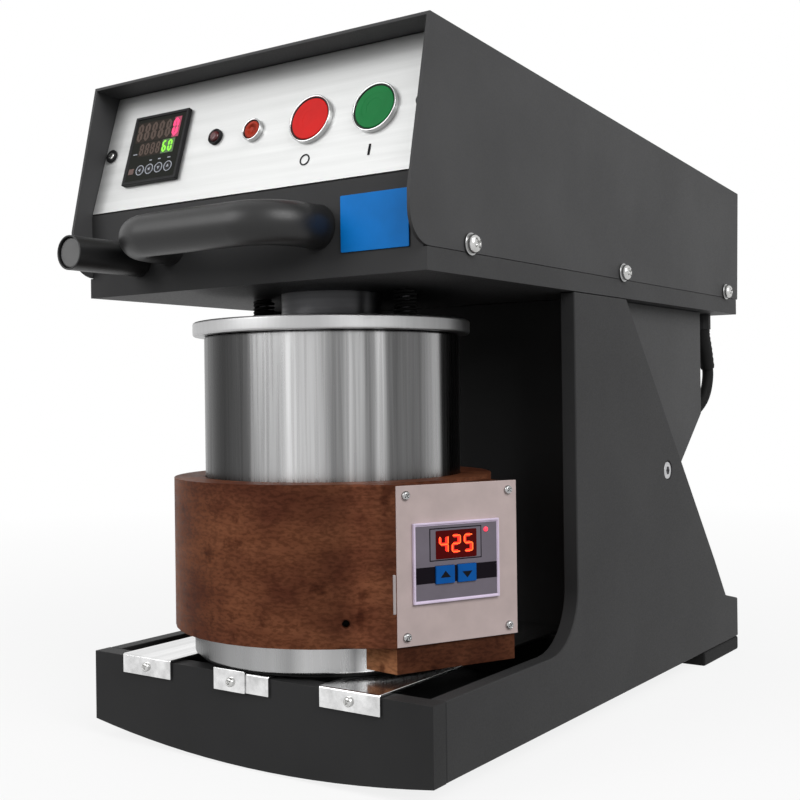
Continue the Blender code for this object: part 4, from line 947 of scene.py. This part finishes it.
# %% Copies of the screws
HOOD_LENGTH = 0.461
screws = []
for number, share in enumerate((0.09002, 0.5141, 0.94252)):
    for side, across, turn in (("right", 0.1271, RIGHT_SIDE), ("left", -0.1271, LEFT_SIDE)):
        place = (across, PAN_Y + HOOD_LENGTH * share, 0.2920)
        screws.append((again(large, f"hood_screw_{side}_{number + 1}", place, turn), "head", zinc))
        screws.append((again(spring_washer, f"hood_washer_{side}_{number + 1}", place, turn), "head", nickel))
for name, across, out in (("left", -0.0793, 0.2092), ("middle", -0.0093, 0.2103), ("right", 0.0747, 0.2092)):
    screws.append((again(medium, f"rail_screw_{name}", (across, -out, 0.0493), FRONT), "base", zinc))
for number, (across, up) in enumerate(((-1, 1), (1, 1), (-1, -1), (1, -1))):
    place = spot(PLATE, 0.0018 + 0.0334 * across, -0.0009 + 0.0385 * up)
    screws.append((again(small, f"plate_screw_{number + 1}", *place), "base", nickel))
for number, (across, up) in enumerate(((-0.09, 0.019), (-0.09, 0.033), (0.09, 0.019), (0.09, 0.033))):
    screws.append((again(medium, f"rear_screw_{number + 1}", (across, 0.2488, up), BACK), "base", zinc))
for piece, body, metal in screws:
    fit(piece, body, metal)
put_away(large, medium, small, spring_washer)
print(len(screws), "screws and washers")

# %% [markdown]
# The panel's own two screws are countersunk and sit in black cup washers.

# %% Panel screws
SCREW_TOP = 0.0018
washer = pierce(drum("panel_washer", 0.0044, 0.0001, 0.0015, sides=48), 0.0019)
round_edges(washer, 0.0005)
slotted = crown(drum("panel_screw", 0.0024, 0.0001, SCREW_TOP, sides=40), SCREW_TOP, 0.0006, 4)
slit = settle(block("cutter", (-0.003, -0.0003, 0.0012), (0.003, 0.0003, 0.003)), turn=(0, 0, 0.6))
slotted = carve(slotted, slit)
for side, across in (("left", -0.1185), ("right", 0.1185)):
    place = spot(PANEL, across, 0.0398)
    fit(again(washer, f"panel_washer_{side}", *place), "head", black_case)
    fit(again(slotted, f"panel_screw_{side}", *place), "head", zinc)
put_away(washer, slotted)
print("2 panel screws")

# %% [markdown]
# ## Digits made of bars
#
# Both displays use seven-bar digits. One bar is a thin block whose upright edges are bevelled
# until its ends are pointed. A digit is up to seven copies of it, four along and three across,
# and a row of digits is joined into one piece. Bars that are off still show faintly, as they
# do behind real tinted glass, so unlit digits are modelled too, in a dim finish.

# %% Seven-bar digits
BARS = {"0": "abcdef", "2": "abged", "4": "fgbc", "5": "afgcd", "6": "afgedc", "8": "abcdefg"}
BAR_PLACES = {"a": (0.5, 1.0, 0), "b": (1.0, 0.75, 1), "c": (1.0, 0.25, 1), "d": (0.5, 0.0, 0),
              "e": (0.0, 0.25, 1), "f": (0.0, 0.75, 1), "g": (0.5, 0.5, 0)}
BAR_THICK = 0.0002


def bar(length, stroke):
    piece = block("bar", (-length / 2, -stroke / 2, 0), (length / 2, stroke / 2, BAR_THICK))
    return bevel(piece, is_upright, stroke * 0.46, 1)


def digits(name, text, face, left, low, height, pitch, out, body, material, stroke_share=0.15):
    """A row of digits on a face, from its lower left corner."""
    stroke = height * stroke_share
    width, tall = pitch * 0.74 - stroke, height - stroke
    flat, upright = bar(width * 0.94, stroke), bar(tall * 0.47, stroke)
    pieces = []
    for index, sign in enumerate(text):
        for letter in BARS[sign]:
            across, up, turned = BAR_PLACES[letter]
            place = (left + pitch * index + stroke / 2 + width * across, low + stroke / 2 + tall * up, out)
            master = upright if turned else flat
            pieces.append(again(master, "bar", place, (0, 0, math.radians(90 * turned))))
    put_away(flat, upright)
    return fit(settle(joined(name, pieces), *face), body, material)


print("bars in an eight:", len(BARS["8"]))

# %% [markdown]
# ## The counter on the panel
#
# The revolution counter is a square case with a raised rim, a dark face set into it, two rows
# of digits and four round keys. Its keys are touch keys, so they don't move. The face is a
# thin plate of its own, because it has another finish than the rim. All of it is measured
# from the middle of the case.

# %% Counter case and face
COUNTER_X, COUNTER_UP, COUNTER_HALF = -0.0769, 0.0392, 0.0231
COUNTER_FACE = 0.0026


def counter_block(name, low, high, bottom, top):
    """A block on the panel, with its corners measured from the middle of the counter."""
    return block(name, (COUNTER_X + low[0], COUNTER_UP + low[1], bottom),
                 (COUNTER_X + high[0], COUNTER_UP + high[1], top))


def counter_square(name, half, bottom, top):
    return counter_block(name, (-half, -half), (half, half), bottom, top)


case = hollow(counter_square("counter_case", COUNTER_HALF, 0.0003, 0.0033), 0.0019, 0.0008)
round_edges(case, 0.0005)
back = round_edges(counter_square("counter_back", 0.0215, -0.060, 0.0010), 0.0006)
case = joined("counter_body_moulded", [case, back])
fit(settle(case, *PANEL), "head", black_case, ["counter_body"])
glass = round_edges(counter_square("counter_face", 0.0211, 0.0022, COUNTER_FACE), 0.0001, 1)
fit(settle(glass, *PANEL), "head", counter_glass)
print("counter", round(2 * COUNTER_HALF, 4), "m square")

# %% Counter windows and digits
for name, low, high, material in (
        ("upper", (-0.0196, 0.0052), (0.0118, 0.0188), window_brown),
        ("lower", (-0.0146, -0.0048), (0.0050, 0.0046), window_brown),
        ("upper_glow", (0.0119, 0.0052), (0.0176, 0.0188), glow_magenta),
        ("lower_glow", (0.0051, -0.0048), (0.0157, 0.0046), glow_green)):
    sheet = counter_block(f"counter_window_{name}", low, high, 0.0025, 0.00265)
    fit(settle(sheet, *PANEL), "head", material)
for name, text, left, low, height, pitch, material, stroke_share in (
        ("upper_unlit", "88888", -0.0190, 0.0060, 0.0120, 0.0061, digit_dim, 0.15),
        ("upper_lit", "0", 0.0115, 0.0060, 0.0120, 0.0066, digit_magenta, 0.17),
        ("lower_unlit", "8888", -0.0139, -0.0040, 0.0078, 0.0047, digit_dim, 0.15),
        ("lower_lit", "60", 0.0056, -0.0040, 0.0078, 0.0049, digit_green, 0.17)):
    digits(f"counter_digits_{name}", text, PANEL, COUNTER_X + left, COUNTER_UP + low, height, pitch,
           COUNTER_FACE, "head", material, stroke_share)
print("counter: 2 rows of digits")

# %% Counter keys and marks
KEY_FIRST, KEY_PITCH, KEY_UP = -0.0096, 0.0080, -0.0142
key = pierce(drum("counter_key", 0.0034, 0.0026, 0.0029, sides=40), 0.00055)
pad = crown(drum("counter_key_pad", 0.0026, 0.0024, 0.0028, sides=40), 0.0028, 0.0002, 2)
arrow = drum("counter_arrow", 0.0013, 0.0027, 0.0030, sides=3)
for number, turn in enumerate((90, 90, 180, 0)):
    place = spot(PANEL, COUNTER_X + KEY_FIRST + KEY_PITCH * number, COUNTER_UP + KEY_UP)
    for master, material in ((key, mark_grey), (pad, black_case), (arrow, mark_grey)):
        copy = again(master, f"{master.name}_{number + 1}", turn=(0, 0, math.radians(turn)))
        fit(settle(copy, *place), "head", material)
put_away(key, pad, arrow)
marks = [counter_block("mark", (x, y), (x + wide, y + tall), COUNTER_FACE, 0.0027) for x, y, wide, tall in (
    (-0.0030, -0.0086, 0.0022, 0.0007), (0.0045, -0.0086, 0.0022, 0.0007),
    (0.0125, -0.0086, 0.0026, 0.0007), (-0.0188, -0.0030, 0.0034, 0.0006))]
fit(settle(joined("counter_ticks", marks), *PANEL), "head", mark_grey)
brown_key = counter_block("counter_mode_key", (-0.0196, -0.0162), (-0.0152, -0.0124), COUNTER_FACE, 0.0028)
fit(settle(round_edges(brown_key, 0.0001, 2), *PANEL), "head", key_brown)
print("counter: 4 round keys, a square one,", len(marks), "marks")

# %% [markdown]
# ## The heater control
#
# The temperature control is a bought panel instrument with a lilac rim. The face, the window
# with its thin dark line, and the dark band under the two blue keys are thin plates laid on
# each other, a tenth of a millimetre apart, as printed foil is. The keys go in by 0.6 mm, so
# each slides in a room that is cut through the rim, the face and the band.

# %% Control rim
KEYS = (("key_up", "up_key", -0.0083, 0), ("key_down", "down_key", 0.0058, 180))


def with_key_rooms(piece):
    """Cut the rooms of the two keys out of a plate of the control."""
    for node, body, across, turn in KEYS:
        room = block("key_room", (across - 0.0062, -0.0120, -0.0002), (across + 0.0062, -0.0018, 0.0040))
        carve(piece, room)
    return piece


rim = hollow(block("control_rim", (-0.02785, -0.0221, 0.0001), (0.02785, 0.0221, 0.0021)), 0.0012, 0.0006)
with_key_rooms(round_edges(rim, 0.0004))
rim_back = block("control_back", (-0.0250, -0.0195, -0.0300), (0.0250, 0.0195, 0.0004))
rim = joined("controller_frame_moulded", [rim, rim_back])
fit(settle(rim, *PLATE), "base", frame_lilac, ["controller_frame"])
print("control rim", [round(v, 4) for v in rim.dimensions])

# %% Control face and display
for name, low, high, bottom, top, material in (
        ("control_face", (-0.02655, -0.0203), (0.0262, 0.0203), 0.0014, 0.00165, face_grey),
        ("control_window_line", (-0.0178, 0.0007), (0.0160, 0.0188), 0.0016, 0.00172, band_dark),
        ("control_window_bed", (-0.0172, 0.0013), (0.0154, 0.0182), 0.0016, 0.00178, face_grey),
        ("control_window", (-0.0139, 0.0017), (0.0126, 0.0173), 0.0016, 0.00195, glass_red),
        ("control_band", (-0.02655, -0.0112), (0.0262, -0.0022), 0.0016, 0.00172, band_dark)):
    foil = block(name, (*low, bottom), (*high, top))
    if name in ("control_face", "control_band"):
        with_key_rooms(foil)
    if name == "control_window":
        bevel(foil, is_upright, 0.0006, 4)
    fit(settle(foil, *PLATE), "base", material)
for name, left, low, height, out, material, stroke_share in (
        ("control_digits", -0.0121, 0.0045, 0.0104, 0.00195, digit_red, 0.17),
        ("control_digits_core", -0.0117, 0.0049, 0.0096, 0.00200, digit_core, 0.07)):
    digits(name, "425", PLATE, left, low, height, 0.0080, out, "base", material, stroke_share)
led = crown(drum("control_lamp", 0.0014, 0.0016, 0.0026, (0.0189, 0.0163), 32), 0.0026, 0.0009, 6)
fit(settle(led, *PLATE), "base", led_red)
print("heater control: face, display and lamp")

# %% Keys with triangles, and the white tab
for node, body, across, turn in KEYS:
    touch = block(node + "_cap", (across - 0.0060, -0.0118, 0.0011), (across + 0.0060, -0.0020, 0.0028))
    fit(settle(round_edges(touch, 0.0002, 2), *PLATE), body, key_blue, [node])
    sign = drum(node + "_triangle", 0.0030, 0.0026, 0.00290, sides=3)
    edit(sign)
    bpy.ops.transform.resize(value=(1.25, 0.82, 1), center_override=(0, 0, 0))
    settle(sign, turn=(0, 0, math.radians(turn)))
    fit(settle(sign, *spot(PLATE, across, -0.0072)), body, mark_black)
tab = block("plate_tab", (-0.0393, -0.0266, -0.0018), (-0.0376, -0.0050, -0.0004))
fit(settle(round_edges(tab, 0.0005), *PLATE), "base", tab_white)
print("heater control:", len(KEYS), "keys")

# %% [markdown]
# ## The grip and the stub
#
# The grip is a bent round bar welded to the pan. A ring of edges is drawn out from the pan,
# spun through a quarter turn about the bend's middle, drawn across, spun again and drawn back.
# The first and last rings are a little wider, as a ground weld is. The stub beside it is a tube
# end with a plug set into it.

# %% Grip
GRIP_RADIUS, GRIP_BEND, GRIP_REACH = 0.012, 0.023, 0.037
LEG_X, GRIP_Z = 0.056, 0.303
BEND_Y = PAN_Y - GRIP_REACH + GRIP_BEND
BEND_X = LEG_X - GRIP_BEND
WELD = ((0.0008, 1.0), (0.0008, 0.994), (0.0008, 0.992), (0.0008, 0.990), (0.0010, 0.992))
STRAIGHT = PAN_Y - BEND_Y - 0.0044
rest()
bpy.ops.mesh.primitive_circle_add(vertices=56, radius=GRIP_RADIUS + 0.0004,
                                  location=(-LEG_X, PAN_Y - 0.0002, GRIP_Z), rotation=FRONT)
bpy.ops.object.transform_apply(location=True, rotation=True, scale=True)
grip = named("grip_bar_bent")
edit(grip)


def draw_out(step, scale=1.0, middle=(0, 0, 0)):
    """Draw the picked ring out by a step, and change its size about its middle."""
    bpy.ops.mesh.extrude_region_move(TRANSFORM_OT_translate={"value": step})
    if scale != 1.0:
        bpy.ops.transform.resize(value=(scale, 1, scale), center_override=middle)


def quarter_turn(middle_x):
    """Spin the picked ring a quarter round the middle of a bend."""
    bpy.ops.mesh.spin(steps=14, angle=math.radians(-90), center=(middle_x, BEND_Y, GRIP_Z), axis=(0, 0, 1))


for step, scale in WELD:
    draw_out((0, -step, 0), scale, (-LEG_X, PAN_Y, GRIP_Z))
draw_out((0, -STRAIGHT, 0))
quarter_turn(-BEND_X)
draw_out((2 * BEND_X, 0, 0))
quarter_turn(BEND_X)
draw_out((0, STRAIGHT, 0))
for step, scale in reversed(WELD):
    draw_out((0, step, 0), 1 / scale, (LEG_X, PAN_Y, GRIP_Z))
bpy.ops.mesh.select_all(action="SELECT")
bpy.ops.mesh.remove_doubles(threshold=0.00001)
bpy.ops.mesh.fill_holes(sides=0)
bpy.ops.mesh.normals_make_consistent(inside=False)
fit(smooth(grip, 50), "head", coat_grip, ["grip_bar"])
print("grip", [round(v, 4) for v in grip.dimensions])

# %% Stub
STUB_PLACE = (-0.0825, PAN_Y, 0.2955)
PLUG_TOP = 0.0526
stub = round_edges(hollow(drum("grip_stub_open", 0.0100, 0.0002, 0.0540, sides=72), 0.0010, 0.0030), 0.0004)
fit(settle(stub, STUB_PLACE, FRONT), "head", coat_grip, ["grip_stub"])
plug = crown(drum("grip_stub_plug", 0.0089, 0.0500, PLUG_TOP), PLUG_TOP, 0.0012, 4)
fit(settle(plug, STUB_PLACE, FRONT), "head", plug_grey)
print("stub at", STUB_PLACE)

# %% [markdown]
# ## The strap on the middle rail, and the plain blue plate
#
# A second strip is folded over the middle rail's front edge. Its front leaf is one block, cut
# level with the rail's top, and the strip above the cut is drawn back along the rail. A wire
# hook stands at its corner. On the pan sits a plain enamelled plate.

# %% Strap and hook
STRAP_CUT = 0.0555
HOOK_X, HOOK_Y, HOOK_RADIUS = 0.0012, -0.2050, 0.0022
strap = block("rail_strap", (-0.0226, -0.2103, 0.0437), (0.0012, -0.2093, 0.0564))
edit(strap)
bpy.ops.mesh.bisect(plane_co=(0, 0, STRAP_CUT), plane_no=(0, 0, 1))
pick(lambda middle, normal: normal.y > NEARLY_STRAIGHT and middle.z > STRAP_CUT)
bpy.ops.mesh.extrude_region_move(TRANSFORM_OT_translate={"value": (0, 0.0190, 0)})
fit(round_edges(strap, 0.0004), "base", stainless_rail)
curl = [(HOOK_X, -0.1960, 0.0568)]
for angle in (k * math.pi / 12 for k in range(20)):
    curl.append((HOOK_X + HOOK_RADIUS * math.sin(angle),
                 HOOK_Y - HOOK_RADIUS + HOOK_RADIUS * math.cos(angle), 0.0566 + 0.0008 * angle))
fit(wire("rail_hook", curl, 0.0006), "base", zinc)
print("strap", [round(v, 4) for v in strap.dimensions])

# %% Blue plate
badge = block("blue_plate", (0.0725, -0.2083, 0.2878), (0.1165, -0.2075, 0.3180))
bevel(badge, lambda middle, along: abs(along.y) > NEARLY_STRAIGHT, 0.0006, 3)
fit(round_edges(badge, 0.00015, 2), "head", sign_blue)
print("plate", [round(v, 4) for v in badge.dimensions])

# %% [markdown]
# ## Marks beside the buttons
#
# The two large buttons are marked with the plain signs for on and off, a bar and a ring.

# %% On and off
on_mark = block("start_mark", (0.0875, 0.0124, 0.0001), (0.0889, 0.0188, 0.0003))
off_mark = pierce(drum("stop_mark", 0.0034, 0.0001, 0.0003, (0.0441, 0.0156), 48), 0.0008)
for mark in (on_mark, off_mark):
    fit(settle(mark, *PANEL), "head", mark_black)
print("marks: on and off")

# %% [markdown]
# ## Motor, pivots and the lead
#
# The motor hangs behind the column and shows from the back and sides. It has a finned body and
# a smooth fan cover at its lower end. A fin is modelled once and copied round the axis. The
# pivots are socket-head bolts, so a six-sided drum is cut into each head.

# %% Motor
MOTOR = (0.0, 0.12265)
FINS = 36
COVER_LOW = 0.1618
core = drum("motor_core", 0.0505, 0.1640, 0.2746, MOTOR, 96)
cover = crown(drum("motor_fan_cover", 0.0549, COVER_LOW, 0.1860, MOTOR, 96), COVER_LOW, 0.0060, 6)
flange = round_edges(drum("motor_flange", 0.0549, 0.2680, 0.2746, MOTOR, 96), 0.0010)
fin = round_edges(block("motor_fin", (0.0490, -0.0010, 0.1850), (0.0545, 0.0010, 0.2690)), 0.0005, 2)
fins = [again(fin, "motor_fin", (*MOTOR, 0), (0, 0, 2 * math.pi * k / FINS)) for k in range(FINS)]
put_away(fin)
motor = smooth(joined("motor_body_finned", [core, cover, flange, *fins]))
fit(motor, "head", coat_base, ["motor_body"])
print("motor fins:", len(fins))

# %% Pivot bolts
BOLT_TOP = 0.0192
bolt = crown(drum("pivot_bolt", 0.0065, 0, BOLT_TOP), BOLT_TOP, 0.0010, 4)
smooth(carve(bolt, drum("socket", 0.0032, 0.0150, 0.0300, sides=6)))
for side, across, turn in (("right", 0.1075, RIGHT_SIDE), ("left", -0.1075, LEFT_SIDE)):
    copy = again(bolt, f"pivot_bolt_{side}_turned", (across, 0.10465, 0.155), turn)
    fit(copy, "base", steel_turned, [f"pivot_bolt_{side}"])
put_away(bolt)
print("2 pivot bolts")

# %% [markdown]
# The lead carries power from the base up into the head. It leaves a gland under the pan, bows
# out behind the column and goes into the rear cover. It is one tube along a smooth line through
# the route's points, and a tapered sleeve protects it at both ends.

# %% The lead
LEAD_TOP, LEAD_LOW = Vector((0.104, 0.23365, 0.2745)), Vector((0.091, 0.21365, 0.0666))
LEAD_RADIUS, LEAD_BOW = 0.0045, 0.020
ROUTE = ((1, 0, 1), (1, 0, 0.9639), (1, 0.075, 0.9206), (1, 0.5, 0.8437), (1, 0.75, 0.7571),
         (0.78, 0.45, 0.6609), (-0.04, -0.25, 0.5695), (-0.62, -0.85, 0.4637), (-0.41, -0.95, 0.3434),
         (-0.15, -0.375, 0.2328), (0, 0.1, 0.151), (0, 0.05, 0.0885), (0, -0.33, 0.05),
         (0, -0.6, 0.0298), (0, -1, 0))
route = [Vector((LEAD_LOW.x + (LEAD_TOP.x - LEAD_LOW.x) * aside, LEAD_TOP.y + LEAD_BOW * back,
                 LEAD_LOW.z + (LEAD_TOP.z - LEAD_LOW.z) * rise)) for aside, back, rise in ROUTE]


def smooth_line(points, steps):
    """A smooth line that passes through every point."""
    ends = [points[0] * 2 - points[1], *points, points[-1] * 2 - points[-2]]
    line = []
    for a, b, c, d in zip(ends, ends[1:], ends[2:], ends[3:]):
        for t in (k / steps for k in range(steps)):
            pull = (c - a) * t + (2 * a - 5 * b + 4 * c - d) * t * t + (3 * b - a - 3 * c + d) * t ** 3
            line.append(b + pull / 2)
    return line + [points[-1]]


line = smooth_line(route, 8)
lead = dress(wire("head_lead_sheathed", line, LEAD_RADIUS, sides=6), black_soft)
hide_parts("head_lead")
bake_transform(lead)


# %% The lead's sleeves
def sleeve(name, part):
    """A tapered sleeve over the first part of a line, ribbed so that it bends with the lead."""
    last = len(part) - 1
    radii = [(1.62 - 0.42 * k / last) * (1.0 if k % 2 else 1.06) for k in range(len(part))]
    piece = dress(wire(name, part, LEAD_RADIUS, radii, 6), black_soft)
    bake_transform(piece)
    return piece


sleeves = [sleeve("head_lead_sleeve_upper", line[10:30]), sleeve("head_lead_sleeve_lower", line[-10:-34:-1])]
print("sleeves:", len(sleeves))

# %% [markdown]
# ## The mains inlet
#
# The inlet at the back is a moulded socket. Its three flat pins stand in the recess.

# %% Inlet pins
PIN_WIDE, PIN_TALL = 0.0021, 0.0009
pins = [round_edges(block("pin", (x - PIN_WIDE, 0.2350, z - PIN_TALL), (x + PIN_WIDE, 0.2478, z + PIN_TALL)),
                    0.0003, 2) for x, z in ((-0.0620, 0.0262), (-0.0550, 0.0302), (-0.0480, 0.0262))]
fit(joined("power_inlet_pins", pins), "base", chrome)
print("inlet pins:", 3)

# %% [markdown]
# ## What stays as it is
#
# Shafts, pulleys, bearings and other inner pieces already have their right shape, so they only
# get a finish on the solid itself.

# %% Finishes on the solids themselves
inner = {"heater_band": steel_turned, "cup_pad": black_soft, "motor_shaft": steel_turned,
         "motor_pulley": alloy_turned, "spindle_pulley": alloy_turned, "spindle_shaft": steel_turned,
         "spindle_housing": dark_turned, "propeller": zinc, "bearing_lower": chrome,
         "bearing_upper": chrome, "pivot_bush_left": bronze, "pivot_bush_right": bronze,
         "drive_belt": black_soft, "lead_gland_upper": black_case, "lid_stud_left": dark_turned,
         "lid_stud_right": dark_turned}
for node, material in inner.items():
    dress(frame["nodes"][node], material)
print("solids that keep their shape:", len(inner))

# %% [markdown]
# ## Floor, light and background
#
# The floor is pale and matt, and keeps the machine's shadow. What the camera and reflections
# see beyond it is white, but that white lights nothing: the Light Path node gives it to camera
# and mirror rays only, and in the world also to rays through glass. The floor's own white
# grows with the distance from the machine, so no horizon shows. The light itself is a dim even
# world and two large soft lamps.

# %% Floor
def any_ray(tree, kinds):
    """One for a ray of any of the kinds, and otherwise nothing."""
    path = put(tree, "LightPath")
    found = path.outputs[kinds[0]]
    for kind in kinds[1:]:
        larger = put(tree, "Math")
        larger.operation = "MAXIMUM"
        tree.links.new(found, larger.inputs[0])
        tree.links.new(path.outputs[kind], larger.inputs[1])
        found = larger.outputs["Value"]
    return found


rest()
bpy.ops.mesh.primitive_plane_add(size=14, location=(0, 0, 0))
floor = named("floor")
floor_paint = finish("floor_pale", grey(0.80), roughness=0.9)
tree = floor_paint.node_tree
seen = any_ray(tree, ("Is Camera Ray", "Is Glossy Ray"))
glow = put(tree, "Emission", Color=(1, 1, 1, 1))
tree.links.new(seen, glow.inputs["Strength"])
where = put(tree, "TexCoord")
distance = put(tree, "VectorMath")
distance.operation = "LENGTH"
tree.links.new(where.outputs["Object"], distance.inputs[0])
fade = put(tree, "MapRange", From_Min=0.3, From_Max=1.5, To_Min=0.84, To_Max=1.0)
tree.links.new(distance.outputs["Value"], fade.inputs["Value"])
both = put(tree, "MixShader")
tree.links.new(fade.outputs["Result"], both.inputs["Fac"])
tree.links.new(tree.nodes["Principled BSDF"].outputs["BSDF"], both.inputs[1])
tree.links.new(glow.outputs["Emission"], both.inputs[2])
tree.links.new(both.outputs["Shader"], tree.nodes["Material Output"].inputs["Surface"])
dress(floor, floor_paint)
print("floor", floor.dimensions.x, "m wide")

# %% World
WORLD_LIGHT = 0.42
world = bpy.data.worlds.new("studio")
bpy.context.scene.world = world
world.use_nodes = True
tree = world.node_tree
seen = any_ray(tree, ("Is Camera Ray", "Is Glossy Ray", "Is Transmission Ray"))
level = put(tree, "MapRange", To_Min=WORLD_LIGHT, To_Max=1.0)
tree.links.new(seen, level.inputs["Value"])
background = tree.nodes["Background"]
background.inputs["Color"].default_value = (1, 1, 1, 1)
tree.links.new(level.outputs["Result"], background.inputs["Strength"])
print("world light", WORLD_LIGHT)


# %% Lamps
def softbox(name, place, size, power):
    """A square soft lamp that shines at the middle of the machine."""
    data = bpy.data.lights.new(name, "AREA")
    data.shape = "RECTANGLE"
    data.size = data.size_y = size
    data.energy = power
    lamp = bpy.data.objects.new(name, data)
    bpy.context.scene.collection.objects.link(lamp)
    lamp.location = place
    lamp.rotation_euler = (Vector((0, 0, 0.2)) - Vector(place)).to_track_quat("-Z", "Y").to_euler()


softbox("key_lamp", (1.7, -0.75, 1.35), 1.3, 32)
softbox("fill_lamp", (-0.9, -1.7, 1.1), 1.2, 17)
scene = bpy.context.scene
scene.view_settings.view_transform = "Standard"
